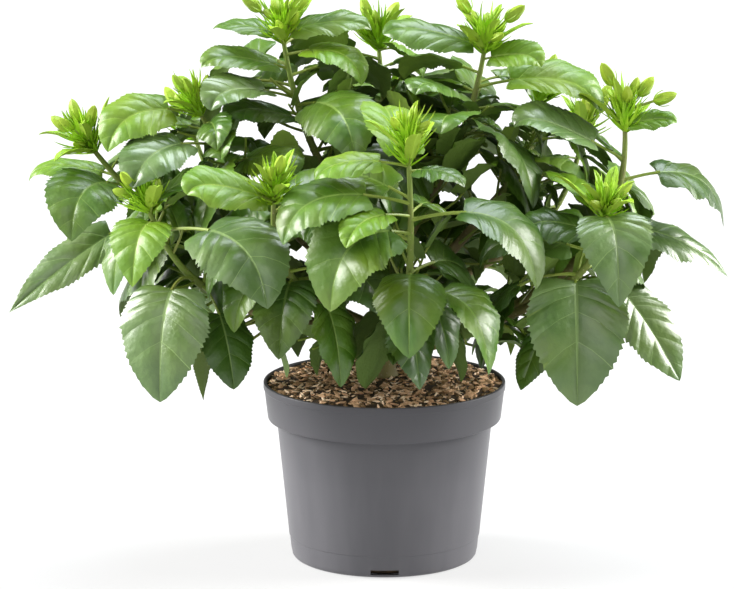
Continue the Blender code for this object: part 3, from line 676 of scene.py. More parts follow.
def round_rings(line, slopes, radii, sides):
    """Rings of the given radii at the points of a line, square to its slopes, with no twist."""
    side = UP.cross(slopes[-1])
    rings = []
    for centre, along, radius in zip(line, slopes, radii):
        side = (side - along * side.dot(along)).normalized()
        other = along.cross(side)
        rings.append([centre + (side * math.cos(a) + other * math.sin(a)) * radius for a in turns(sides)])
    return rings


def limb_skin(limb, sides, spans):
    steps = [k / spans for k in range(spans + 1)]
    return loft(round_rings(*limb.course(steps), [limb.radius(t) for t in steps], sides))


def leaf_arc(root, tip, arch):
    """A leaf's midline: it leaves its node outwards, then bends over towards its tip."""
    reach = (tip - root).xy.length
    corner = Vector((tip.x, tip.y, max(root.z, tip.z) + PETIOLE_LIFT * reach))
    middle = (root + tip) / 2
    return Arc(root, middle.lerp(corner, arch), tip)


def place_at_length(arc, length, samples=24):
    """The arc's parameter where that much of its length is left before the tip."""
    left, after = 0.0, arc.tip
    for k in range(samples - 1, -1, -1):
        before = arc.point(k / samples)
        left += (after - before).length
        if left >= length:
            return k / samples
        after = before
    return 0.0


def heading_of(arc):
    """The level direction that an arc goes in."""
    heading = flat(arc.tip - arc.foot)
    return heading.normalized() if heading.length > 1e-6 else Vector((0, -1, 0))


def blade_start(leaf):
    """The arc's parameter where the leaf's stalk ends and its blade starts."""
    return max(place_at_length(leaf.arc, leaf.blade), LEAST_STALK)


def leaf_skin(leaf, grown, bare_root=0.0):
    """A coarse skin of the leaf's stalk and blade, larger by `grown` and bare near its root."""
    arc, base = leaf.arc, blade_start(leaf)
    level = heading_of(arc).cross(UP)
    half_width = leaf.blade * leaf.slimness / 2
    outline = YOUNG_OUTLINE if leaf.young else LEAF_OUTLINE
    start = min(bare_root / max((arc.tip - arc.foot).length, 1e-6), base * 0.8)
    stations = [(start, None)] + [(base + (1 - base) * u, w) for u, w in outline]
    rings = []
    for t, width in stations:
        centre, along = arc.point(t), arc.slope(t)
        over = level.cross(along).normalized()
        side = level * math.cos(leaf.roll) + over * math.sin(leaf.roll)
        over = side.cross(along).normalized()
        if width is None or width < 0.1:
            reach, rise, thick = PETIOLE_RADIUS + grown, 0.0, PETIOLE_RADIUS + grown
        else:
            reach = half_width * width + grown
            rise, thick = half_width * width * LEAF_FOLD, LEAF_THICKNESS / 2 + grown
        rings.append([
            centre + over * thick,
            centre + side * reach + over * rise,
            centre - over * thick,
            centre - side * reach + over * rise,
        ])
    return loft(rings, arc.tip + arc.slope(1.0) * grown)


def bud_skin(root, tip):
    """A coarse flower bud on its stalk: a pointed spindle at the end of a thin rod."""
    along = tip - root
    rod = max(along.length - BUD_LENGTH, 0.3 * along.length) / along.length
    places = (0.0, rod, rod + (1 - rod) * 0.35, rod + (1 - rod) * 0.75)
    radii = (0.9 * MM, 1.1 * MM, BUD_RADIUS, BUD_RADIUS * 0.6)
    line = [root + along * t for t in places]
    return loft(round_rings(line, [along.normalized()] * len(line), radii, 4), tip)


def foreign_to(shoot):
    """A test for names of parts that are neither the shoot's own nor its stem."""
    return lambda name: name not in (shoot, shoot + "_stem")


class Crown:
    """Every part grown so far, and whether a new one would keep clear of the others."""

    def __init__(self):
        self.placed, self.leaves, self.buds = [], [], []
        self.twigs, self.leaflets = [], []

    def add(self, name, skin):
        self.placed.append((name, *corners_of(skin[0]), BVHTree.FromPolygons(*skin)))

    def blocks(self, skin, counts):
        """True if the skin crosses a placed part whose name counts."""
        low, high = corners_of(skin[0])
        tree = None
        for name, other_low, other_high, other in self.placed:
            if not counts(name):
                continue
            if any(low[i] > other_high[i] or high[i] < other_low[i] for i in range(3)):
                continue
            tree = tree or BVHTree.FromPolygons(*skin)
            if tree.overlap(other):
                return True
        return False

    def try_leaf(self, shoot, place, kind, leaf, tint=None):
        """Adds the leaf if it keeps clear of everything, and says whether it did.

        Near its root it may touch its own stem and the leaves beside it. A young leaf may also
        touch its stem further out.
        """
        own = (shoot,) if leaf.young else (shoot, shoot + "_stem")
        bare = YOUNG_BARE_ROOT if leaf.young else BARE_ROOT
        if self.blocks(leaf_skin(leaf, CLEARANCE), foreign_to(shoot)):
            return False
        if self.blocks(leaf_skin(leaf, CLEARANCE, bare), lambda n: n in own):
            return False
        self.add(shoot, leaf_skin(leaf, 0.0))
        self.leaves.append(Grown(place, kind, leaf, tint))
        return True


def grow_trunk(crown):
    foot, top = in_metres(TRUNK_COLLAR), in_metres(TRUNK_TOP)
    trunk = Limb(foot, (foot + top) / 2 + in_metres(TRUNK_LEAN), top,
                 TRUNK_RADII[1] * MM, TRUNK_RADII[-1] * MM)
    line, slopes = trunk.course(TRUNK_PLACES)
    line[0], slopes[0] = Vector((0, 0, TRUNK_FOOT)), UP
    crown.add("trunk", loft(round_rings(line, slopes, [r * MM for r in TRUNK_RADII], TRUNK_SIDES)))
    return trunk


def grow_boughs(trunk, crown):
    """Each bough springs from inside its parent and ends at its mass."""
    limbs = {"trunk": trunk}
    for name, parent_name, place, tip, sag, foot_radius, tip_radius in BOUGHS:
        foot, end = limbs[parent_name].point(place), in_metres(tip)
        bend = (foot + end) / 2 - UP * (end - foot).length * sag
        limbs[name] = Limb(foot, bend, end, foot_radius * MM, tip_radius * MM)
        crown.add(name, limb_skin(limbs[name], *BOUGH_SKIN))
    return limbs


def grow_stems(limbs, crown):
    """The stem of each mass: it carries on from its bough's tip."""
    stems = {}
    for shoot in SHOOTS:
        bough, end = limbs[shoot.name.replace("foliage", "bough")], in_metres(shoot.tip)
        along = bough.slope(1.0)
        foot = bough.tip + along * SEAT_GAP
        bend = foot + along * (end - foot).length * STEM_STRAIGHT
        stem = Limb(foot, bend, end, bough.tip_radius * STEM_FOOT_SHARE, STEM_TIP_RADIUS)
        stems[shoot.name] = stem
        crown.add(shoot.name + "_stem", limb_skin(stem, *STEM_SKIN))
    return stems


def leave_sky_gaps(crown):
    """Adds a slim tube along each line of sight that stays open from the crown's front to its back."""
    for x, z, radius in SKY_GAPS:
        middle = in_metres((x, 0, z))
        along = (middle - EYE).normalized()
        ends = [middle - along * DOME_DEEP, middle + along * DOME_DEEP]
        crown.add("sky_gap", loft(round_rings(ends, [along] * 2, [radius * MM] * 2, 6)))


def in_dome(point):
    """True inside the dome that the crown's inner leaves stay in."""
    off = point - DOME_CENTRE
    height = DOME_HIGH if off.z > 0 else DOME_LOW
    depth = DOME_DEEP if off.y > 0 else DOME_FRONT
    return (off.x / DOME_WIDE) ** 2 + (off.y / depth) ** 2 + (off.z / height) ** 2 < 1


def rule_leaf(stem, place, turn, tilt, size):
    """A leaf at a node of the stem: its heading turns round the stem and leans outwards."""
    node, outward = stem.point(place), stem.outward(place, turn)
    away = flat(node - DOME_CENTRE).normalized()
    heading = (flat(outward) + away * OUTWARD_LEAN).normalized()
    blade = BIG_LEAF * size
    tip = node + (heading * math.cos(tilt) + UP * math.sin(tilt)) * blade * LEAF_REACH
    roll = -OUTWARD_ROLL * away.dot(heading.cross(UP))
    return Leaf(leaf_arc(node, tip, LEAF_ARCH), blade, LEAF_SLIMNESS, roll, False)


def grow_rule_leaves(stems, crown):
    """Leaves up each stem, a golden turn apart, smaller and more upright towards the tip.

    Each tries a few turns and tilts, and is skipped if none keeps clear inside the dome.
    """
    draws = {shoot: random.Random(shoot.seed) for shoot in SHOOTS}
    for rank in range(max(shoot.leaves for shoot in SHOOTS)):
        for shoot in SHOOTS:
            if rank >= shoot.leaves:
                continue
            rng, stem = draws[shoot], stems[shoot.name]
            place = RULE_FIRST + RULE_STRETCH * rank / (shoot.leaves - 1)
            turn = math.radians(shoot.first_turn) + rank * GOLDEN_TURN + vary(rng, RULE_TURN_VARIES)
            size = RULE_SIZE - RULE_SIZE_LOSS * place + vary(rng, RULE_SIZE_VARIES)
            tilt = math.radians(RULE_TILT + RULE_TILT_GAIN * place + vary(rng, RULE_TILT_VARIES))
            for turned_by, tilted_by, shrink in LEAF_TRIES:
                leaf = rule_leaf(stem, place, turn + turned_by, tilt + tilted_by, size * shrink)
                tip = leaf.arc.tip
                if not in_dome(tip) or tip.z < LOWEST_TIP:
                    continue
                if crown.try_leaf(shoot.name, place, "rule", leaf):
                    break


def low_leaf(stem, place, turned_by, height, shrink):
    """A leaf that hangs in over the mix from near the foot of a low stem."""
    node = stem.point(place)
    angle = math.atan2(node.y, node.x) + turned_by
    reach = node.xy.length * LOW_TIP_SHARE
    tip = Vector((math.cos(angle) * reach, math.sin(angle) * reach, height))
    blade = min(LOW_LEAF, (tip - node).length * LOW_BLADE_SHARE) * shrink
    return Leaf(leaf_arc(node, tip, LOW_ARCH), blade, LEAF_SLIMNESS, 0.0, False)


def grow_low_leaves(stems, crown):
    """A few leaves over the mix from each low stem. Each tries other turns where it has no room."""
    low_stems = [(name, stem) for name, stem in stems.items() if stem.foot.z < LOW_STEM]
    for k in range(LOW_LEAVES):
        place, height = LOW_FIRST + LOW_PLACE_STEP * k, LOW_TIP_HEIGHT + LOW_TIP_RISE * k
        for name, stem in low_stems:
            for turned_by, _, shrink in LEAF_TRIES:
                turn = LOW_TURN_STEP * (k - 1) + turned_by
                leaf = low_leaf(stem, place, turn, height, shrink)
                if crown.try_leaf(name, place, "low", leaf):
                    break


def grow_outline_leaves(stems, crown):
    for name, rows in OUTLINE_LEAVES:
        for place, tip, blade, slimness, arch, roll, tint in rows:
            arc = leaf_arc(stems[name].point(place), in_metres(tip), arch)
            leaf = Leaf(arc, blade * MM, slimness, math.radians(roll), False)
            crown.try_leaf(name, place, "outline", leaf, tint)


def grow_young_leaves(stems, crown):
    """Small upright leaves spread round the last stretch of each stem."""
    for shoot in SHOOTS:
        stem, rng = stems[shoot.name], random.Random(shoot.seed + YOUNG_SEED)
        for k in range(YOUNG_LEAVES):
            place = YOUNG_FIRST + YOUNG_STEP * k
            turn = math.radians(shoot.first_turn + 60) + k * GOLDEN_TURN
            node, outward = stem.point(place), stem.outward(place, turn)
            length = (YOUNG_LENGTH - YOUNG_LENGTH_LOSS * k + vary(rng, YOUNG_LENGTH_VARIES)) * MM
            spread = 1.0 - YOUNG_SPREAD_LOSS * k
            rise = stem.slope(place) * (1 - 0.4 * spread) + outward * spread
            arc = leaf_arc(node, node + rise.normalized() * length, YOUNG_ARCH)
            leaf = Leaf(arc, length * YOUNG_BLADE_SHARE, YOUNG_SLIMNESS, 0.0, True)
            crown.try_leaf(shoot.name, place, "young", leaf)


def grow_buds(stems, crown):
    for name, tips in BUDS:
        root = stems[name].point(BUD_ROOT)
        for end in map(in_metres, tips):
            skin = bud_skin(root, end)
            if not crown.blocks(skin, foreign_to(name)):
                crown.add(name, skin)
                crown.buds.append((root, end))


def grow_sprigs(limbs, stems, crown):
    """Finer twigs in the axils up each stem and along each bough, with a few small leaves each."""
    rows = [(s.name, stems[s.name], *STEM_SPRIGS, s.first_turn, s.seed) for s in SHOOTS]
    rows += [(name, limbs[name], *BOUGH_SPRIGS, 40 * k, 50 + k) for k, (name, *_) in enumerate(BOUGHS)]
    for name, limb, count, lowest, stretch, size, first_turn, seed in rows:
        rng = random.Random(seed + SPRIG_SEED)
        for k in range(count):
            place = lowest + stretch * k / (count - 1)
            turn = math.radians(first_turn + 70) + k * GOLDEN_TURN
            for turned_by in SPRIG_TURNS:
                if grow_sprig(limb, place, turn + turned_by, size, rng, name, crown):
                    break


def grow_sprig(limb, place, turn, size, rng, name, crown):
    """One twig with side leaves and an end leaf. It is left out if no leaf of it has room."""
    foot, outward = limb.point(place), limb.outward(place, turn)
    length = SPRIG_LENGTH * size * (1 - SPRIG_LOSS * place) * rng.uniform(*SPRIG_LENGTH_SHARE)
    rise = (outward + limb.slope(place) * 0.7 + UP * 0.2).normalized()
    tip = foot + rise * length
    bend = (foot + tip) / 2 + outward * length * SPRIG_BOW
    twig = Limb(foot, bend, tip, SPRIG_RADIUS, SPRIG_RADIUS * 0.7)
    skin = limb_skin(twig, *TWIG_SKIN)
    if not in_dome(tip) or crown.blocks(skin, foreign_to(name)):
        return False
    grew = False
    for j in range(SPRIG_LEAVES):
        t = 1 - SPRIG_LEAF_STEP * j
        sideways = twig.outward(t, turn + j * GOLDEN_TURN)
        heading = twig.slope(t) * (1.2 if j == 0 else 0.6) + sideways * (j > 0)
        for shrink in SPRIG_SHRINKS:
            blade = SPRIG_LEAF * size * (1 - SPRIG_LEAF_LOSS * j) * rng.uniform(*SPRIG_LEAF_SHARE)
            blade *= SPRIG_FOOT_SIZE - SPRIG_TOP_LOSS * place
            blade *= shrink
            away = (heading.normalized() + UP * rng.uniform(*SPRIG_DROOP)).normalized()
            end = twig.point(t) + away * blade * SPRIG_LEAF_REACH
            arc = leaf_arc(twig.point(t), end, SPRIG_ARCH)
            leaf = Leaf(arc, blade, rng.uniform(*SPRIG_SLIMNESS), 0.0, True)
            if in_dome(end) and end.z > LOWEST_TIP and crown.try_leaf(name, place, "sprig", leaf):
                grew = True
                break
    if grew:
        crown.add(name, skin)
        crown.twigs.append(twig)
    return grew


def grow_tufts(stems, crown):
    """Narrow leaflets and small buds on short stalks, upright round each stem's tip."""
    for shoot in SHOOTS:
        stem, rng = stems[shoot.name], random.Random(shoot.seed + TUFT_SEED)
        for k in range(TUFT_LEAFLETS):
            height = k / (TUFT_LEAFLETS - 1)
            place = TUFT_FOOT + TUFT_STRETCH * height
            node = stem.point(place)
            outward = stem.outward(place, math.radians(shoot.first_turn) + k * GOLDEN_TURN)
            spread = rng.uniform(*TUFT_SPREAD) * (TUFT_OPENING - TUFT_CLOSING * height)
            length = TUFT_LEAFLET * rng.uniform(*TUFT_LENGTH_SHARE)
            tip = node + (stem.slope(place) + UP * TUFT_RISE + outward * spread).normalized() * length
            if tip.z > CAD_TOP:
                continue
            arc = Arc(node, (node + tip) / 2 + outward * length * rng.uniform(*TUFT_BOW), tip)
            if k % TUFT_BUD_EVERY == 2 and height > TUFT_BUDS_ABOVE:
                crown.buds.append((node, tip))
            else:
                crown.leaflets.append((arc, outward))


# ---- Node trees written as expressions ----

def both_ways(operation):
    """An operator that adds a node, and its reflected form."""
    return (lambda value, other: value.operate(operation, value, other),
            lambda value, other: value.operate(operation, other, value))


class Value:
    """A socket that expressions are written on: each operator adds one node."""

    def __init__(self, tree, socket):
        self.tree, self.socket = tree, socket

    __add__, __radd__ = both_ways("ADD")
    __sub__, __rsub__ = both_ways("SUBTRACT")
    __mul__, __rmul__ = both_ways("MULTIPLY")

    def calculate(self, kind, operation, terms, output=0):
        return self.tree.value(kind, dict(enumerate(terms)), {"operation": operation}, output)

    def math(self, operation, *others):
        """A Math node's function of this value: sine, absolute, power and the like."""
        return self.calculate("ShaderNodeMath", operation, (self, *others))

    def vector_math(self, operation, *others, output=0):
        return self.calculate("ShaderNodeVectorMath", operation, (self, *others), output)

    def operate(self, operation, *pair):
        if any(isinstance(v, Value) and v.socket.type == "VECTOR" for v in pair):
            pair = [(v, v, v) if isinstance(v, (int, float)) else v for v in pair]
            return self.calculate("ShaderNodeVectorMath", operation, pair)
        return self.calculate("ShaderNodeMath", operation, pair)

    def cross(self, other):
        return self.vector_math("CROSS_PRODUCT", other)

    def normalized(self):
        return self.vector_math("NORMALIZE")

    def length(self):
        return self.vector_math("LENGTH", output="Value")

    def along(self, axis):
        """A vector's X, Y or Z."""
        return self.tree.value("ShaderNodeSeparateXYZ", {"Vector": self}, output=axis)


class Tree:
    """A node tree and the one way of adding a node to it."""

    def __init__(self, tree):
        self.tree = tree

    def node(self, kind, inputs=None, settings=None):
        """Adds a node, sets it up, then gives its sockets values or links."""
        made = self.tree.nodes.new(kind)
        for key, value in (settings or {}).items():
            setattr(made, key, value)
        for key, value in (inputs or {}).items():
            self.feed(self.find(made.inputs, key), value)
        return made

    def value(self, kind, inputs=None, settings=None, output=0):
        """Adds a node and returns one of its outputs."""
        return Value(self, self.find(self.node(kind, inputs, settings).outputs, output))

    def feed(self, socket, value):
        """Gives a socket a value or a link."""
        if isinstance(value, Value):
            self.tree.links.new(value.socket, socket)
        else:
            socket.default_value = value

    @staticmethod
    def find(sockets, key):
        """The socket with that number, identifier or name."""
        if isinstance(key, int):
            return sockets[key]
        return next((s for s in sockets if s.identifier == key), None) or sockets[key]


class Finish(Tree):
    """A material with the shader that its nodes feed."""

    def __init__(self, name):
        self.material = bpy.data.materials.new(name)
        self.material.use_nodes = True
        super().__init__(self.material.node_tree)
        self.shader = self.tree.nodes["Principled BSDF"]

    def place(self, stretch=(1, 1, 1)):
        """Where a point is on the object, in metres, stretched along the axes."""
        point = self.value("ShaderNodeTexCoord", output="Object")
        return self.value("ShaderNodeMapping", {"Vector": point, "Scale": stretch})

    def noise(self, place, scale, detail=2.0, roughness=0.5):
        return self.value("ShaderNodeTexNoise", {
            "Vector": place, "Scale": scale, "Detail": detail, "Roughness": roughness})

    def spread(self, value, low, high):
        """The value, which goes from low to high, as a mask from 0 to 1."""
        return self.value("ShaderNodeMapRange", {"Value": value, "From Min": low, "From Max": high},
                          {"clamp": True})

    def blend(self, mask, first, second):
        """The first colour where the mask is 0 and the second where it is 1."""
        ends = [c if isinstance(c, Value) else (*c, 1) for c in (first, second)]
        return self.value("ShaderNodeMix", {"Factor_Float": mask, "A_Color": ends[0], "B_Color": ends[1]},
                          {"data_type": "RGBA"}, "Result_Color")

    def bump(self, height, strength, distance):
        return self.value("ShaderNodeBump", {
            "Height": height, "Strength": strength, "Distance": distance})

    def surface(self, **inputs):
        """Feeds the shader's sockets, named with _ for a space, and returns the material."""
        for key, value in inputs.items():
            self.feed(self.shader.inputs[key.replace("_", " ")], value)
        return self.material


# ---- Finishes ----

def leaf_finish(name, deep, pale, warm, roughness, coat):
    """A leaf's skin: mottled in two greens with warmer patches, waxy, cockled and finely grained."""
    finish = Finish(name)
    place = finish.place()
    mottle = finish.spread(finish.noise(place, scale=60, detail=3), low=0.35, high=0.65)
    patches = finish.spread(finish.noise(place, scale=26), low=0.48, high=0.66)
    cockles = finish.noise(place, scale=210)
    grain = finish.noise(place, scale=1400, detail=3)
    colour = finish.blend(patches * 0.6, finish.blend(mottle, deep, pale), warm)
    relief = finish.bump(cockles + grain * 0.12, strength=0.6, distance=1.2 * MM)
    return finish.surface(Base_Color=colour, Roughness=roughness + mottle * 0.14, Normal=relief,
                          Specular_IOR_Level=LEAF_SPECULAR, Coat_Weight=coat, Coat_Roughness=0.3)


def bark_finish(name, young, old, scar):
    """Smooth young bark: lengthwise streaks, a greener skin and small pale pores."""
    finish = Finish(name)
    place = finish.place()
    drawn_out = finish.place((1, 1, 0.22))
    streaks = finish.spread(finish.noise(drawn_out, scale=330, detail=4, roughness=0.6), low=0.35, high=0.7)
    patches = finish.spread(finish.noise(place, scale=38), low=0.4, high=0.62)
    distance = finish.value("ShaderNodeTexVoronoi", {"Vector": place, "Scale": 420.0}, output="Distance")
    pores = 1 - finish.spread(distance, low=0.12, high=0.24)
    skin = finish.blend(patches, finish.blend(streaks, old, young), young)
    relief = finish.bump(streaks * 0.6 + pores, strength=0.5, distance=0.25 * MM)
    return finish.surface(Base_Color=finish.blend(pores * 0.7, skin, scar),
                          Roughness=0.62 + streaks * 0.2, Normal=relief)


def mix_finish(name, dark, warm):
    """Damp peat or bark: coarse and fine grain in two browns."""
    finish = Finish(name)
    place = finish.place()
    coarse = finish.noise(place, scale=260, detail=4, roughness=0.65)
    fine = finish.noise(place, scale=1500, detail=3, roughness=0.6)
    colour = finish.blend(finish.spread(coarse + fine * 0.4, low=0.5, high=0.95), dark, warm)
    relief = finish.bump(coarse + fine, strength=0.7, distance=0.4 * MM)
    return finish.surface(Base_Color=colour, Roughness=0.9, Normal=relief)


def pot_finish():
    """Grey moulded plastic: satin, slightly streaked from the mould, with painted shade of the crown that
    darkens it from its rim down to half its height.
    """
    finish = Finish("pot_grey_plastic")
    place = finish.place()
    streaks = finish.noise(finish.place((1, 1, 0.12)), scale=90, detail=3, roughness=0.55)
    clouds = finish.noise(place, scale=22, detail=3)
    grain = finish.noise(place, scale=2600)
    mask = finish.spread(streaks * 0.5 + clouds * 0.5, low=0.35, high=0.65)
    # Painted shade of the crown: darkest grey at the rim, gone by half the pot's height.
    crown_shade = finish.spread(place.along("Z"), POT_HEIGHT, POT_HEIGHT / 2)
    colour = finish.blend(crown_shade, POT_GREY_SHADED, finish.blend(mask, POT_GREY_DEEP, POT_GREY_PALE))
    relief = finish.bump(grain + streaks, strength=0.12, distance=0.1 * MM)
    return finish.surface(Base_Color=colour, Roughness=0.34 + mask * 0.1, Normal=relief,
                          Specular_IOR_Level=0.22)


def floor_finish():
    finish = Finish("pale_floor")
    return finish.surface(Base_Color=(*FLOOR_WHITE, 1), Roughness=0.85, Specular_IOR_Level=0.2,
                          Emission_Color=(1, 1, 1, 1), Emission_Strength=FLOOR_GLOW)


# ---- Flat and straight shapes that are bent along arcs: x runs from 0 to 1 along the arc ----

def new_object(name, mesh):
    obj = bpy.data.objects.new(name, mesh)
    bpy.context.scene.collection.objects.link(obj)
    return obj


def shape_object(name, points, faces, parts=None):
    """A shape to bend. Each face has a part number, which picks its finish."""
    mesh = bpy.data.meshes.new(name)
    mesh.from_pydata(points, [], faces)
    mesh.attributes.new("part", "INT", "FACE").data.foreach_set("value", parts or [0] * len(faces))
    local = mesh.attributes.new("local", "FLOAT_VECTOR", "POINT")
    local.data.foreach_set("vector", [c for p in points for c in p])
    return new_object(name, mesh)


def tube_shape(name, sides, spans, radius_at=lambda x, angle: 1.0):
    """A closed round tube of radius radius_at(x, angle), where 1 is the limb's own radius."""
    rings = []
    for k in range(spans + 1):
        x = k / spans
        spokes = [(a, radius_at(x, a)) for a in turns(sides)]
        rings.append([(x, math.cos(a) * r, math.sin(a) * r) for a, r in spokes])
    return shape_object(name, *loft(rings))


def blade_outline(m, tip):
    """Share of the half width at a place along the blade: round at the base, drawn out at the tip."""
    peak = ROUND_BASE / (ROUND_BASE + tip)
    top = peak ** ROUND_BASE * (1 - peak) ** tip
    return max(m, 0.0) ** ROUND_BASE * max(1 - m, 0.0) ** tip / top


def blade_rows(teeth, veined, tooth, tip):
    """Rows of a blade, each from the midrib forward to the margin.

    A row is its place on the midrib, its place and half width on the margin, its rise, and
    whether the strip that follows it is a vein. Every tooth counted by `veined` ends a vein, and
    the lowest veins leave the midrib close to the blade's base, whose margin bulges backward.
    """
    def start(m):
        return m ** VEINS_FORWARD

    def edge(m):
        return m - HEART_BASE * math.sin(math.pi * min(m / HEART_END, 1.0))

    def swell(k):
        share = (k % veined) / veined
        return LEAST_SWELL + math.sin(math.pi * share) * (1 - LEAST_SWELL)

    rows = [(0.0, 0.0, BASE_WIDTH, 0.0, False)]
    rows += [(place, edge(m), blade_outline(m, tip), rise, False) for place, m, rise in BASE_ROWS]
    step = TEETH_STRETCH / teeth
    for k in range(teeth):
        m = FIRST_TOOTH + step * k
        depth = tooth * min(1.0, FIRST_DEPTH + DEPTH_GAIN * m)
        width = blade_outline(m, tip) * (1 + depth * 0.5)
        half_vein = VEIN_SHARE * (1 - VEIN_THINNING * m) / 2
        if k % veined == 0:
            rows.append((start(m) - half_vein, edge(m) - VEIN_END, width, 0.0, True))
            rows.append((start(m) + half_vein, edge(m) + VEIN_END, width, 0.0, False))
        else:
            rows.append((start(m), edge(m), width, swell(k), False))
        notch = m + step * NOTCH
        width = blade_outline(notch, tip) * (1 - depth * 0.5)
        rows.append((start(notch), edge(notch), width, swell(k + NOTCH), False))
    rows.append((start(BLADE_END), BLADE_END, blade_outline(BLADE_END, tip), 0.0, False))
    return rows


def blade_shape(name, teeth, veined, tooth, tip, quilt, seed):
    """A flat leaf blade, closed and thin. y reaches 1 at its widest and z is in millimetres.

    Its upper face is raised between the veins. Part 0 is the upper face, 1 the veins, 2 below.
    """
    rng = random.Random(seed)
    rows = blade_rows(teeth, veined, tooth, tip)
    points, faces, parts = [], [], []
    upper_columns = [-s for s in reversed(BLADE_COLUMNS)] + [0.0] + list(BLADE_COLUMNS)
    margin = len(upper_columns) - 1
    upper, lower = [], []
    for midrib, edge, width, rise, _ in rows:
        wobble = {side: 1 + vary(rng, MARGIN_WOBBLE) for side in (-1, 1)}

        def across(q):
            """How far out a column is, and its point on this row."""
            share, side = abs(q), (1 if q > 0 else -1)
            return (share, midrib + (edge - midrib) * share ** ROW_SWEEP,
                    side * width * share * wobble[side])

        ring = []
        for q in upper_columns:
            share, x, y = across(q)
            if share == 1:
                z = 0.0
            elif share <= MIDRIB_SHARE:
                z = BLADE_THICKNESS / 2 - (MIDRIB_GROOVE if share == 0 else 0.0)
            else:
                z = BLADE_THICKNESS / 2 + quilt * rise * math.sin(math.pi * share)
            ring.append(len(points))
            points.append((x, y, z))
        upper.append(ring)
        under = [ring[0]]
        for q in (-UNDER_COLUMN, 0.0, UNDER_COLUMN):
            share, x, y = across(q)
            z = -BLADE_THICKNESS / 2 - (MIDRIB_DEPTH * (1 - midrib) if share == 0 else 0.0)
            under.append(len(points))
            points.append((x, y, z))
        lower.append(under + [ring[margin]])
    tip = len(points)
    points.append((1.0, 0.0, 0.0))
    for k, row in enumerate(rows):
        vein_strip, last = row[4], k == len(rows) - 1
        for rings, is_upper in ((upper, True), (lower, False)):
            for c in range(len(rings[k]) - 1):
                if last:
                    face = (rings[k][c], tip, rings[k][c + 1])
                else:
                    face = (rings[k][c], rings[k + 1][c], rings[k + 1][c + 1], rings[k][c + 1])
                faces.append(face if is_upper else tuple(reversed(face)))
                on_midrib = is_upper and abs(c + 0.5 - margin / 2) < 1
                parts.append((1 if vein_strip or on_midrib else 0) if is_upper else 2)
    faces.append(tuple(upper[0]) + tuple(reversed(lower[0][1:-1])))
    parts.append(2)
    return shape_object(name, points, faces, parts)


def bud_shape(name, sides, spans, ribs):
    """A pointed bud with shallow ribs."""
    def radius_at(x, angle):
        swell = math.sin(math.pi * min(x * 1.01, 1.0) ** 0.8) ** 0.5
        return max(0.02, swell) * (1 + 0.09 * math.cos(ribs * angle))

    return tube_shape(name, sides, spans, radius_at)


def strap_shape(name, spans):
    """A narrow pointed bract: three points across, folded a little, thin and closed."""
    rings = []
    for k in range(spans):
        x = k / spans
        width = (1 - x) ** 0.7 * (0.75 + 0.5 * math.sin(math.pi * x))
        rings.append([(x, -width, 0.25), (x, 0, -0.22), (x, width, 0.25), (x, 0, 0.22)])
    return shape_object(name, *loft(rings, (1.0, 0.0, 0.0)))


# ---- Bending a shape along many arcs ----

# Ripples along a blade and their skew across it, how sharply its margin curls, and how far the
# bark's relief moves on from one limb to the next.
RIPPLES = 19.0
RIPPLE_SKEW = 1.3
CURL_POWER = 2.2
RIDGE_SHIFT = 90.0

ARC_VECTORS = ("foot", "bend", "tip", "level")
ARC_NUMBERS = ("start", "end", "wide", "high", "taper", "fold", "curl", "roll", "twist", "wave", "phase")


def new_group(name, output, **inputs):
    """A Geometry Nodes tree with one output, and the values of its named inputs, given by kind."""
    group = bpy.data.node_groups.new(name, "GeometryNodeTree")
    for key, kind in inputs.items():
        group.interface.new_socket(name=key, in_out="INPUT", socket_type="NodeSocket" + kind)
    group.interface.new_socket(name=output, in_out="OUTPUT", socket_type="NodeSocketGeometry")
    tree = Tree(group)
    given = tree.node("NodeGroupInput")
    return tree, [Value(tree, given.outputs[key]) for key in inputs]


def copies_on(tree, points, shape, **turned):
    """The shape set on every point, made real."""
    shape = tree.value("GeometryNodeObjectInfo", {"Object": shape, "As Instance": True}, output="Geometry")
    copies = tree.value("GeometryNodeInstanceOnPoints", {"Points": points, "Instance": shape, **turned})
    return tree.value("GeometryNodeRealizeInstances", {"Geometry": copies})


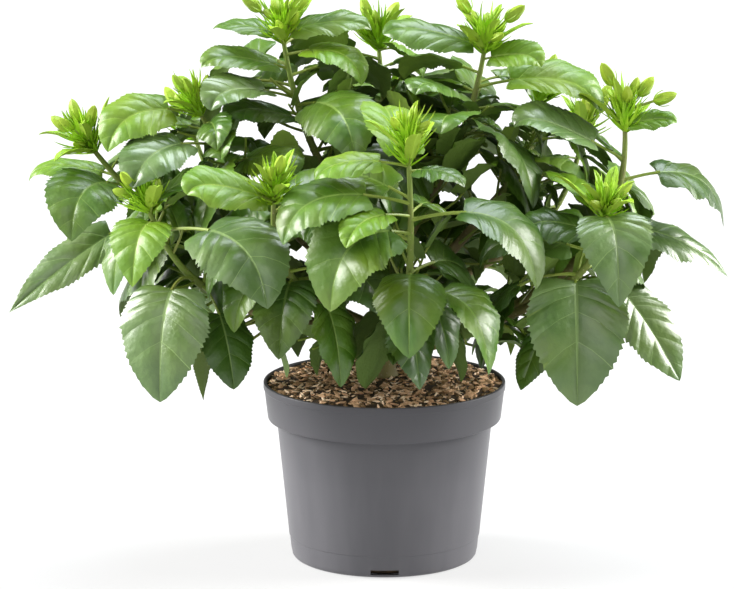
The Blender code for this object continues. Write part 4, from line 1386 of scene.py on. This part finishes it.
def make_bend_tree():
    """Sets a shape on each point, bends it along that point's arc and gives it its finishes."""
    tree, (places, shape, relief, ridge_length, ridges_round, *finishes) = new_group(
        "bend_along_arcs", "Shapes", Places="Geometry", Shape="Object", Relief="Float",
        Ridge_Length="Float", Ridges_Round="Float", Main_Finish="Material", Vein_Finish="Material",
        Under_Finish="Material")

    def field(name, kind="FLOAT"):
        return tree.value("GeometryNodeInputNamedAttribute", {"Name": name}, {"data_type": kind})

    local = field("local", "FLOAT_VECTOR")
    x, y, z = (local.along(axis) for axis in "XYZ")
    foot, bend, tip, level = (field(name, "FLOAT_VECTOR") for name in ARC_VECTORS)
    start, end, wide, high, taper, fold, curl, roll, twist, wave, phase = map(field, ARC_NUMBERS)

    t = start + (end - start) * x
    s = 1 - t
    centre = foot * (s * s) + bend * (s * t * 2) + tip * (t * t)
    along = ((bend - foot) * s + (tip - bend) * t).normalized()
    upward = along.cross(level).normalized()
    angle = roll + twist * x
    side = level * angle.math("COSINE") - upward * angle.math("SINE")
    over = along.cross(side)
    size = 1 + taper * x
    out = y.math("ABSOLUTE")
    ripple = (x * RIPPLES + y * RIPPLE_SKEW + phase).math("SINE") * wave * out * out
    lift = (fold * out - curl * out.math("POWER", CURL_POWER) + ripple) * wide + z * high * size
    bent = tree.value("GeometryNodeSetPosition", {
        "Geometry": copies_on(tree, places, shape),
        "Position": centre + side * (y * wide * size) + over * lift})

    ridges = tree.value("ShaderNodeCombineXYZ", {
        "X": x * ridge_length, "Y": y * ridges_round, "Z": z * ridges_round})
    noise = tree.value("ShaderNodeTexNoise", {
        "Vector": ridges + foot * RIDGE_SHIFT, "Scale": 1.0, "Detail": 3.0})
    shown = tree.value("GeometryNodeSetPosition", {
        "Geometry": bent, "Offset": tree.value("GeometryNodeInputNormal") * ((noise - 0.5) * relief)})

    for number, finish in enumerate(finishes):
        chosen = tree.value("FunctionNodeCompare", {"A_INT": field("part", "INT"), "B_INT": number},
                            {"data_type": "INT", "operation": "EQUAL"})
        shown = tree.value("GeometryNodeSetMaterial", {
            "Geometry": shown, "Selection": chosen, "Material": finish})
    tree.node("NodeGroupOutput", {"Shapes": shown})
    return tree.tree


def run_tree(obj, group, **values):
    """Gives an object a Geometry Nodes modifier, its inputs set by their sockets' identifiers."""
    modifier = obj.modifiers.new(group.name, "NODES")
    modifier.node_group = group
    for item in group.interface.items_tree:
        if item.in_out == "INPUT" and item.name in values:
            modifier[item.identifier] = values[item.name]


def made_plain(obj, extra_fields=()):
    """Turns what an object's modifiers make into its plain mesh, with smooth faces."""
    graph = bpy.context.evaluated_depsgraph_get()
    mesh = bpy.data.meshes.new_from_object(obj.evaluated_get(graph))
    obj.modifiers.clear()
    obj.data = mesh
    for name in extra_fields:
        if name in mesh.attributes:
            mesh.attributes.remove(mesh.attributes[name])
    mesh.shade_smooth()
    mesh.set_sharp_from_angle(angle=SHARP_ANGLE)
    mesh.name = obj.name
    return obj


def arc_row(arc, wide, high=None, start=0.0, end=1.0, level=None, **shape):
    """One shape's place: its arc, the stretch of it that the shape fills, and its size."""
    row = dict.fromkeys(ARC_NUMBERS, 0.0)
    row.update(foot=arc.foot, bend=arc.bend, tip=arc.tip, start=start, end=end, wide=wide,
               high=wide if high is None else high, **shape)
    if level is None:
        level = (arc.bend - arc.foot).cross(arc.tip - arc.bend)
        if level.length < 1e-9:
            level = (arc.tip - arc.foot).cross(Vector((0.3, 0.5, 0.81)))
    row["level"] = level.normalized()
    return row


def bend_along_arcs(name, shape, rows, finishes, relief=0.0, ridge_length=1.0, ridges_round=1.0):
    """One plain mesh made of the shape bent along every row's arc."""
    mesh = bpy.data.meshes.new(name)
    mesh.vertices.add(len(rows))
    for field in ARC_VECTORS:
        made = mesh.attributes.new(field, "FLOAT_VECTOR", "POINT")
        made.data.foreach_set("vector", [c for row in rows for c in row[field]])
    for field in ARC_NUMBERS:
        made = mesh.attributes.new(field, "FLOAT", "POINT")
        made.data.foreach_set("value", [row[field] for row in rows])
    obj = new_object(name, mesh)
    main, vein, under = finishes if len(finishes) == 3 else finishes * 3
    run_tree(obj, BEND_TREE, Shape=shape, Relief=relief, Ridge_Length=ridge_length,
             Ridges_Round=ridges_round, Main_Finish=main, Vein_Finish=vein, Under_Finish=under)
    return made_plain(obj, ARC_VECTORS + ARC_NUMBERS + ("part", "local"))


# ---- Foliage ----

def blade_row(grown, rng):
    """The arc row of a leaf's blade, with its own fold, curl, twist and ripples."""
    leaf = grown.leaf
    loose, fold = (0.5, YOUNG_FOLD) if leaf.young else (1.0, BLADE_FOLD)
    width = leaf.blade * leaf.slimness * (YOUNG_WIDTH if grown.kind == "young" else 1.0)
    return arc_row(
        leaf.arc, width / 2, MM, start=blade_start(leaf), level=UP.cross(heading_of(leaf.arc)),
        roll=leaf.roll + vary(rng, BLADE_ROLL), twist=vary(rng, BLADE_TWIST) * loose,
        fold=fold + rng.uniform(*FOLD_VARIES), curl=rng.uniform(*BLADE_CURL) * loose,
        wave=rng.uniform(*BLADE_WAVE), phase=rng.uniform(0, 2 * math.pi))


def leaf_tint(grown, rng):
    """The tint of a leaf: deeper low down its stem and fresher up it, and, as painted shade and light, also
    deeper inside the crown and fresher out in the light.
    """
    if grown.kind == "young":
        return "young"
    tip = grown.leaf.arc.tip
    # Painted light and shade: a tip high up or far out to the side makes the tint fresher, and one inside the
    # crown makes it deeper.
    lit = max((tip.z - LOWEST_TIP) / (CAD_TOP - LOWEST_TIP), abs(tip.x - DOME_CENTRE.x) / DOME_WIDE)
    age_and_light = grown.place * PLACE_SHARE + lit * LIGHT_SHARE + vary(rng, TINT_VARIES)
    return grown.tint or ("deep" if age_and_light < DEEP_BELOW else "mid" if age_and_light < MID_BELOW else "fresh")


def leaf_form(grown, k):
    """The blade form of the k-th leaf."""
    if grown.kind == "young":
        return "narrow"
    if grown.kind == "sprig":
        return SMALL_FORMS[k % len(SMALL_FORMS)]
    return "long" if grown.leaf.slimness < 0.6 else ("broad", "plain")[k % 2]


def joined(name, pieces):
    """Pieces with the same finishes made into one."""
    mesh, shape = pieces[0].data, bmesh.new()
    for piece in pieces:
        shape.from_mesh(piece.data)
    shape.to_mesh(mesh)
    shape.free()
    for piece in pieces[1:]:
        bpy.data.objects.remove(piece)
    pieces[0].name = name
    return pieces[0]


def make_leaves(crown):
    """The blades, sorted by tint and form. Each sort is one piece, and all small ones of a tint."""
    rng = random.Random(7)
    sorts, pieces = {}, {}
    for k, grown in enumerate(crown.leaves):
        sort = leaf_tint(grown, rng), leaf_form(grown, k)
        sorts.setdefault(sort, []).append(blade_row(grown, rng))
    for (tint, form), rows in sorted(sorts.items()):
        piece = bend_along_arcs(f"{tint}_{form}", BLADES[form], rows, LEAF_FINISHES[tint])
        pieces.setdefault(f"leaves_{tint}_{form.split('_')[0]}", []).append(piece)
    return [joined(name, made) for name, made in pieces.items()]


def make_leaf_stalks(crown):
    """Every leaf's stalk, thicker at both ends."""
    def radius_at(x, angle):
        return 1 + STALK_FLARE * (2 * x - 1) ** 4

    shape = tube_shape("stalk", *STALK_TUBE, radius_at)
    rows = []
    for grown in crown.leaves:
        leaf = grown.leaf
        base = blade_start(leaf)
        radius = STALK_RADIUS * (0.5 + 0.5 * leaf.blade / BIG_LEAF)
        end = base + (1 - base) * 0.02
        rows.append(arc_row(leaf.arc, radius, end=end, level=UP.cross(heading_of(leaf.arc)),
                            taper=STALK_TAPER))
    return bend_along_arcs("leaf_stalks", shape, rows, [STALK_FINISH])


def scar_ring(x, count, share, length):
    """How far a limb stands out at a place for its rings of leaf scars."""
    return share * math.exp(-((x * count) % 1.0 - 0.5) ** 2 / length)


def taper_of(limb):
    return limb.tip_radius / limb.foot_radius - 1


def make_stems(stems, crown):
    """The green stems with their leaf scars, and the finer twigs."""
    def radius_at(x, angle):
        return (1 + scar_ring(x, *STEM_SCARS) * (1 - x)) * (1 if x < STEM_ROUND else 0.5)

    rows = [arc_row(stem, stem.foot_radius, taper=taper_of(stem)) for stem in stems.values()]
    stem_shape = tube_shape("stem", *STEM_TUBE, radius_at)
    twig_rows = [arc_row(twig, twig.foot_radius, taper=TWIG_TAPER) for twig in crown.twigs]
    return [bend_along_arcs("stems", stem_shape, rows, [STEM_FINISH], *STEM_RELIEF),
            bend_along_arcs("twigs", tube_shape("twig", *TWIG_TUBE), twig_rows, [STALK_FINISH])]


def make_buds(crown):
    """Flower buds on their stalks, each in a ring of narrow bracts. Short ones are still small."""
    rng = random.Random(31)
    bodies, stalks, bracts = [], [], []
    for root, tip in crown.buds:
        way = tip - root
        length = min(BUD_LENGTH, way.length * BUD_SHARE)
        grown = length / BUD_LENGTH
        lean = Vector((vary(rng, 1), vary(rng, 1), 0)) * BUD_LEAN * MM
        arc = Arc(root, (root + tip) / 2 + lean, tip)
        rod = 1 - length / way.length
        stalks.append(arc_row(arc, BUD_STALK_RADIUS * (0.4 + 0.6 * grown), end=rod + 0.04))
        bodies.append(arc_row(arc, BUD_RADIUS * rng.uniform(*BUD_SIZE_SHARE) * grown, start=rod))
        foot, along = arc.point(rod + 0.02), arc.slope(rod)
        for turn in turns(BRACTS):
            outward = turned_out(along, turn + vary(rng, 0.2))
            reach = BRACT_LENGTH * rng.uniform(*BRACT_SHARE) * (0.3 + 0.7 * grown)
            bend = foot + outward * reach * 0.5 + along * reach * 0.15
            end = foot + outward * reach * 0.45 + along * reach * 0.85
            bracts.append(arc_row(Arc(foot, bend, end), BRACT_WIDTH / 2, MM,
                                  level=along.cross(outward)))
    return [
        bend_along_arcs("bud_stalks", tube_shape("rod", *BUD_STALK_TUBE), stalks, [STALK_FINISH]),
        bend_along_arcs("buds", bud_shape("bud", *BUD_TUBE, BUD_RIBS), bodies, [BUD_FINISH]),
        bend_along_arcs("bud_bracts", strap_shape("bract", 5), bracts, [BRACT_FINISH]),
    ]


def make_leaflets(crown):
    """The narrow leaflets of the tufts, folded along their midribs."""
    rng = random.Random(41)
    rows = [arc_row(arc, TUFT_LEAFLET_WIDTH / 2 * rng.uniform(*TUFT_WIDTH_SHARE), 0.8 * MM,
                    level=outward.cross(arc.slope(0.5)), fold=rng.uniform(*TUFT_FOLD),
                    roll=vary(rng, TUFT_ROLL), twist=vary(rng, TUFT_TWIST))
            for arc, outward in crown.leaflets]
    return [bend_along_arcs("tuft_leaflets", strap_shape("leaflet", 6), rows, [TUFT_FINISH])]


# ---- Wood ----

def make_wood(limbs):
    """The trunk with its flare, and the boughs with a collar at each foot, all with bark relief."""
    def trunk_radius(x, angle):
        reach = [r / TRUNK_RADII[1] for r in TRUNK_RADII]
        for k, place in enumerate(TRUNK_PLACES[1:]):
            if x <= place:
                share = (x - TRUNK_PLACES[k]) / (place - TRUNK_PLACES[k])
                radius = reach[k] + (reach[k + 1] - reach[k]) * share
                break
        return radius * (1 + RIB_SHARE * math.exp(-x / FLARE_LENGTH) * math.cos(TRUNK_RIBS * angle + 0.6))

    def bough_radius(x, angle):
        return 1 + COLLAR_SHARE * math.exp(-x / COLLAR_LENGTH) + scar_ring(x, *BOUGH_SCARS)

    trunk, *boughs = limbs.values()
    rows = [arc_row(Arc(Vector((0, 0, TRUNK_FOOT)), trunk.bend, trunk.tip), trunk.foot_radius)]
    bough_rows = [arc_row(bough, bough.foot_radius, taper=taper_of(bough), end=BOUGH_END) for bough in boughs]
    return [
        bend_along_arcs("trunk_bark", tube_shape("trunk_shape", *TRUNK_TUBE, trunk_radius), rows,
                        [BARK_FINISH], *TRUNK_RELIEF),
        bend_along_arcs("bough_bark", tube_shape("bough_shape", *BOUGH_TUBE, bough_radius), bough_rows,
                        [BARK_FINISH], *BOUGH_RELIEF)]


# ---- Pot and potting mix ----

def from_smallest(corners):
    """A face's corners in the same turn, from the smallest number on."""
    first = corners.index(min(corners))
    return corners[first:] + corners[:first]


def turned(name, profile, sides, finish):
    """A profile of (radius, height), whose ends lie on the axis, turned round Z.

    The merge leaves the faces in an order that changes from run to run, so they are sorted.
    """
    mesh = bpy.data.meshes.new(name)
    shape = bmesh.new()
    points = [shape.verts.new((r, 0, z)) for r, z in profile]
    edges = [shape.edges.new(pair) for pair in zip(points, points[1:])]
    bmesh.ops.spin(shape, geom=points + edges, cent=(0, 0, 0), axis=(0, 0, 1),
                   angle=2 * math.pi, steps=sides, use_merge=True)
    bmesh.ops.remove_doubles(shape, verts=shape.verts, dist=1e-6)
    bmesh.ops.recalc_face_normals(shape, faces=shape.faces)
    shape.verts.index_update()
    faces = sorted(from_smallest([v.index for v in face.verts]) for face in shape.faces)
    mesh.from_pydata([v.co.copy() for v in shape.verts], [], faces)
    shape.free()
    mesh.materials.append(finish)
    return new_object(name, mesh)


def rounded(corner, before, after, radius, steps=4):
    """Points of a small arc that rounds a profile's corner between its neighbours."""
    corner, before, after = Vector(corner), Vector(before), Vector(after)
    first = corner + (before - corner).normalized() * radius
    last = corner + (after - corner).normalized() * radius
    return [tuple(first * (1 - t) ** 2 + corner * 2 * t * (1 - t) + last * t * t)
            for t in (k / steps for k in range(steps + 1))]


def rounded_profile(points):
    """A profile whose inner points are (radius, height, rounding)."""
    profile = [points[0][:2]]
    for before, here, after in zip(points, points[1:], points[2:]):
        if here[2] > 0:
            profile += rounded(here[:2], before[:2], after[:2], here[2])
        else:
            profile.append(here[:2])
    return profile + [points[-1][:2]]


def make_pot():
    """The pot's shell with moulded edges, a faint ring near its foot and drain slots."""
    band_foot = POT_HEIGHT - RIM_BAND

    def wall_radius(z):
        return FOOT_RADIUS + (NECK_RADIUS - FOOT_RADIUS) * z / band_foot

    ring, lip = FOOT_RING_HEIGHT, POT_HEIGHT - LIP_DEPTH
    profile = rounded_profile([
        (0, 0, 0),
        (FOOT_RADIUS - FOOT_FLAT, 0, 0),
        (FOOT_RADIUS, 0, FOOT_ROUND),
        (wall_radius(ring), ring, LINE_ROUND),
        (wall_radius(ring) + FOOT_RING_STEP, ring + FOOT_RING_STEP, LINE_ROUND),
        (wall_radius(band_foot), band_foot, NECK_ROUND),
        (BAND_FOOT_RADIUS, band_foot + BAND_STEP, BAND_ROUND),
        (RIM_RADIUS - LIP_STEP, lip, LIP_ROUND),
        (RIM_RADIUS, lip + LIP_STEP, LIP_ROUND),
        (RIM_RADIUS, POT_HEIGHT, RIM_ROUND),
        (RIM_RADIUS - WALL, POT_HEIGHT, RIM_INNER_ROUND),
        (BAND_FOOT_RADIUS - WALL, band_foot + WALL, INNER_ROUND),
        (wall_radius(band_foot) - WALL, band_foot + WALL, INNER_ROUND),
        (FOOT_RADIUS - WALL, FOOT_ROUND, FLOOR_ROUND),
        (FOOT_RADIUS - FOOT_ROUND, WALL, 0),
        (0, WALL, 0)])
    pot = turned("pot_shell", profile, POT_SIDES, POT_FINISH)
    cutter = bmesh.new()
    for turn in turns(SLOTS):
        angle = turn - math.pi / 2
        outward = Vector((math.cos(angle), math.sin(angle), 0))
        block = bmesh.ops.create_cube(cutter, size=1)["verts"]
        for v in block:
            along, across, height = v.co
            v.co = outward * (FOOT_RADIUS + 1 * MM + (along - 0.5) * (SLOT_DEPTH + 1 * MM))
            v.co += UP.cross(outward) * across * SLOT_WIDTH
            v.co.z = SLOT_LOW + (height + 0.5) * (SLOT_HIGH - SLOT_LOW)
    mesh = bpy.data.meshes.new("slot_cutter")
    cutter.to_mesh(mesh)
    cutter.free()
    slots = new_object("slot_cutter", mesh)
    difference = pot.modifiers.new("slots", "BOOLEAN")
    difference.operation = "DIFFERENCE"
    difference.object = slots
    return made_plain(pot)


def make_scatter_tree():
    """Lays a crumb on random spots of a surface within its reach, turned and sized at random."""
    tree, (surface, crumb, density, reach, smallest, largest, seed, finish) = new_group(
        "scatter_crumbs", "Crumbs", Surface="Geometry", Crumb="Object", Per_Square_Metre="Float",
        Reach="Float", Smallest="Float", Largest="Float", Seed="Int", Finish="Material")

    facing_up = tree.value("GeometryNodeInputNormal").along("Z").math("GREATER_THAN", CRUMB_SLOPE)
    spots = tree.value("GeometryNodeDistributePointsOnFaces", {
        "Mesh": surface, "Selection": facing_up, "Density": density, "Seed": seed},
        {"distribute_method": "RANDOM"}, "Points")
    off_axis = (tree.value("GeometryNodeInputPosition") * Vector((1, 1, 0))).length()
    kept = tree.value("GeometryNodeDeleteGeometry", {
        "Geometry": spots, "Selection": off_axis.math("GREATER_THAN", reach)}, {"domain": "POINT"})
    turn = tree.value("FunctionNodeRandomValue", {
        "Min": (-CRUMB_LEAN, -CRUMB_LEAN, 0.0), "Max": (CRUMB_LEAN, CRUMB_LEAN, 2 * math.pi),
        "Seed": seed + 1}, {"data_type": "FLOAT_VECTOR"})
    size = tree.value("FunctionNodeRandomValue", {
        "Min_001": smallest, "Max_001": largest, "Seed": seed + 2}, {"data_type": "FLOAT"}, 1)
    crumbs = copies_on(tree, kept, crumb, Rotation=turn, Scale=size)
    shown = tree.value("GeometryNodeSetMaterial", {"Geometry": crumbs, "Material": finish})
    tree.node("NodeGroupOutput", {"Crumbs": shown})
    return tree.tree


def crumb_shape(name, stretch, roughness, seed):
    """An angular crumb about 1 unit long."""
    rng = random.Random(seed)
    mesh = bpy.data.meshes.new(name)
    shape = bmesh.new()
    bmesh.ops.create_icosphere(shape, subdivisions=1, radius=0.5)
    for v in shape.verts:
        v.co *= 1 + vary(rng, roughness)
        v.co = Vector(c * s for c, s in zip(v.co, stretch))
    shape.to_mesh(mesh)
    shape.free()
    return new_object(name, mesh)


def mix_surface_height(x, y, edge):
    """How far the mix's surface lies over its level at a place."""
    waves = math.sin(x * 95 + 1.1) * math.cos(y * 80 - 0.4) + 0.6 * math.sin(x * 210 - y * 160)
    return MIX_WAVE * waves + MIX_HEAP * (1 - (math.hypot(x, y) / edge) ** 2)


def make_potting_mix():
    """The mix: a body that fills the pot, a lumpy surface and three sorts of crumbs on it."""
    band_foot = POT_HEIGHT - RIM_BAND
    inset = WALL + SEAT_GAP
    edge = BAND_FOOT_RADIUS + (RIM_RADIUS - BAND_FOOT_RADIUS) * MIX_BAND_SHARE - inset
    surface = [(edge * (1 - k / MIX_RINGS), MIX_LEVEL - MIX_EDGE_DIP * math.exp(-k / MIX_DIP_RINGS))
               for k in range(MIX_RINGS + 1)]
    profile = [
        (0, inset),
        (FOOT_RADIUS - FOOT_ROUND, inset),
        (FOOT_RADIUS - inset, FOOT_ROUND + SEAT_GAP),
        (NECK_RADIUS - inset, band_foot + inset),
        (BAND_FOOT_RADIUS - inset, band_foot + inset)]
    body = turned("mix_body", profile + surface, MIX_SIDES, MIX_FINISH)
    rng = random.Random(5)
    for v in body.data.vertices:
        radius = v.co.xy.length
        if v.co.z < MIX_TOP_FROM:
            continue
        if radius > 1 * MM:
            fade = min(1.0, (edge - radius) / MIX_FADE)
            v.co.z += (mix_surface_height(v.co.x, v.co.y, edge) + vary(rng, MIX_GRAIN / MM) * MM) * fade
        else:
            v.co.z += MIX_HEAP
    body.data.shade_smooth()
    pieces = [body]
    for name, shape, density, smallest, largest, seed, finish in CRUMBS:
        crumbs = new_object(name, body.data.copy())
        run_tree(crumbs, SCATTER_TREE, Crumb=shape, Per_Square_Metre=float(density),
                 Reach=edge - MIX_BARE_EDGE, Smallest=smallest * MM, Largest=largest * MM,
                 Seed=seed, Finish=finish)
        pieces.append(made_plain(crumbs))
    return pieces


# ---- Stage ----

def make_floor():
    mesh = bpy.data.meshes.new("floor")
    corners = [Vector(c) * FLOOR_HALF for c in ((-1, -1, 0), (1, -1, 0), (1, 1, 0), (-1, 1, 0))]
    mesh.from_pydata(corners, [], [(0, 1, 2, 3)])
    mesh.materials.append(floor_finish())
    new_object("floor", mesh)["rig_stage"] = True


def make_sun(name, colour, strength, softness, elevation, turn):
    """A wide soft light that shines the same everywhere, from that elevation and turn."""
    light = bpy.data.lights.new(name, "SUN")
    light.color, light.energy, light.angle = colour, strength, math.radians(softness)
    sun = new_object(name, light)
    up, around = math.radians(elevation), math.radians(turn)
    towards = Vector((math.sin(around) * math.cos(up), -math.cos(around) * math.cos(up), math.sin(up)))
    sun.rotation_euler = (-towards).to_track_quat("-Z", "Y").to_euler()


def make_surroundings():
    """A world that is white behind the object and dim overhead, where the lights are."""
    world = bpy.data.worlds.new("white_studio")
    world.use_nodes = True
    tree = Tree(world.node_tree)
    height = tree.value("ShaderNodeTexCoord", output="Generated").along("Z")
    glow = tree.value("ShaderNodeMapRange", {
        "Value": height, "From Min": SKY_LOW, "From Max": SKY_HIGH,
        "To Min": HORIZON_GLOW, "To Max": SKY_GLOW}, {"clamp": True})
    background = world.node_tree.nodes["Background"].inputs
    tree.feed(background["Color"], (*SKY_WHITE, 1))
    tree.feed(background["Strength"], glow)
    return world


def make_stage():
    """Pale floor, white surroundings and soft light from both sides and overhead."""
    make_floor()
    scene = bpy.context.scene
    scene.world = make_surroundings()
    scene.view_settings.view_transform = "Standard"
    for sun in SUNS:
        make_sun(*sun)


def make_camera():
    """A long lens level with the pot's axis, looking 12 degrees down."""
    camera = new_object("camera", bpy.data.cameras.new("camera"))
    camera.location = CAMERA_PLACE
    camera.rotation_euler = (CAMERA_TILT, 0, 0)
    camera.data.lens = CAMERA_LENS
    camera.data.clip_end = CAMERA_REACH
    bpy.context.scene.camera = camera


# ---- Growing and dressing ----

def grow_crown():
    """Grows the whole crown in the order that the solids were grown in, then its sprigs."""
    crown = Crown()
    for name in ("pot", "potting_mix"):
        mesh = frame["nodes"][name].data
        crown.add(name, ([v.co.copy() for v in mesh.vertices], [tuple(p.vertices) for p in mesh.polygons]))
    limbs = grow_boughs(grow_trunk(crown), crown)
    stems = grow_stems(limbs, crown)
    grow_buds(stems, crown)
    grow_outline_leaves(stems, crown)
    leave_sky_gaps(crown)
    grow_low_leaves(stems, crown)
    grow_young_leaves(stems, crown)
    grow_rule_leaves(stems, crown)
    grow_sprigs(limbs, stems, crown)
    grow_tufts(stems, crown)
    return limbs, stems, crown


def dress(pieces, nodes):
    """Each piece rides on the shrub's one body, and the solids of its nodes are hidden."""
    for piece in pieces:
        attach(piece, "root")
        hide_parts(*nodes)


def remove_shapes():
    """Takes away the shapes that were only bent or scattered."""
    for obj in list(bpy.data.objects):
        if obj.type == "MESH" and "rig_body" not in obj and "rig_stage" not in obj:
            bpy.data.objects.remove(obj)


def leaf_finishes(name):
    """The finishes of a leaf's upper face, its veins and its underside."""
    (deep, pale, warm, vein, under), (roughness, coat) = LEAF_TINTS[name], LEAF_WAX[name]
    return (leaf_finish(f"leaf_{name}", deep, pale, warm, roughness, coat),
            leaf_finish(f"leaf_{name}_vein", vein, vein, vein, roughness + 0.05, coat * 0.6),
            leaf_finish(f"leaf_{name}_under", under, under, under, 0.6, 0.0))


LEAF_FINISHES = {name: leaf_finishes(name) for name in LEAF_TINTS}
STALK_FINISH = leaf_finish("leaf_stalk_green", STALK_GREEN, STALK_PALE, STALK_WARM, 0.45, 0.1)
BUD_FINISH = leaf_finish("bud_lime", BUD_GREEN, BUD_LIME, BUD_OLIVE, 0.5, 0.1)
TUFT_FINISH = leaf_finish("tuft_lime", TUFT_GREEN, TUFT_LIME, BUD_OLIVE, 0.5, 0.1)
BRACT_FINISH = leaf_finish("bract_green", BUD_GREEN, TUFT_GREEN, BUD_OLIVE, 0.5, 0.1)
STEM_FINISH = bark_finish("stem_green", STEM_GREEN, STEM_OLIVE, STEM_SCAR)
BARK_FINISH = bark_finish("bark_olive", BARK_YOUNG, BARK_OLD, BARK_SCAR)
POT_FINISH = pot_finish()
# The mix's body shows between the crumbs, where its near-black brown is partly painted shade.
MIX_FINISH = mix_finish("potting_mix_dark", MIX_DARK_AND_SHADE, MIX_WARM)
PEAT_FINISH = mix_finish("peat_crumb", MIX_WARM, PEAT_WARM)
CHIP_FINISH = mix_finish("bark_chip", CHIP_DARK, CHIP_RED)
FIBRE_FINISH = mix_finish("pale_fibre", CHIP_RED, FIBRE_TAN)

BEND_TREE = make_bend_tree()
SCATTER_TREE = make_scatter_tree()
CRUMBS = (
    ("peat_crumbs", crumb_shape("peat", (1, 0.8, 0.7), 0.25, 1), 70000, 1.2, 3.4, 3, PEAT_FINISH),
    ("bark_chips", crumb_shape("chip", (1.4, 0.8, 0.4), 0.3, 2), 42000, 1.8, 5.4, 8, CHIP_FINISH),
    ("pale_fibres", crumb_shape("fibre", (1.4, 0.6, 0.4), 0.3, 3), 42000, 1.3, 4.2, 13, FIBRE_FINISH),
)
BLADES = {name: blade_shape(f"{name}_blade", *sizes) for name, sizes in BLADE_FORMS.items()}

LIMBS, STEMS, CROWN = grow_crown()
MASSES = list(STEMS)
make_camera()
make_stage()
trunk_bark, bough_bark = make_wood(LIMBS)
dress([trunk_bark], ["trunk"])
dress([bough_bark], [name for name in LIMBS if name != "trunk"])
dress(make_leaves(CROWN), MASSES)
dress(make_stems(STEMS, CROWN) + [make_leaf_stalks(CROWN)] + make_buds(CROWN)
      + make_leaflets(CROWN), MASSES)
dress([make_pot()], ["pot"])
dress(make_potting_mix(), ["potting_mix"])
remove_shapes()
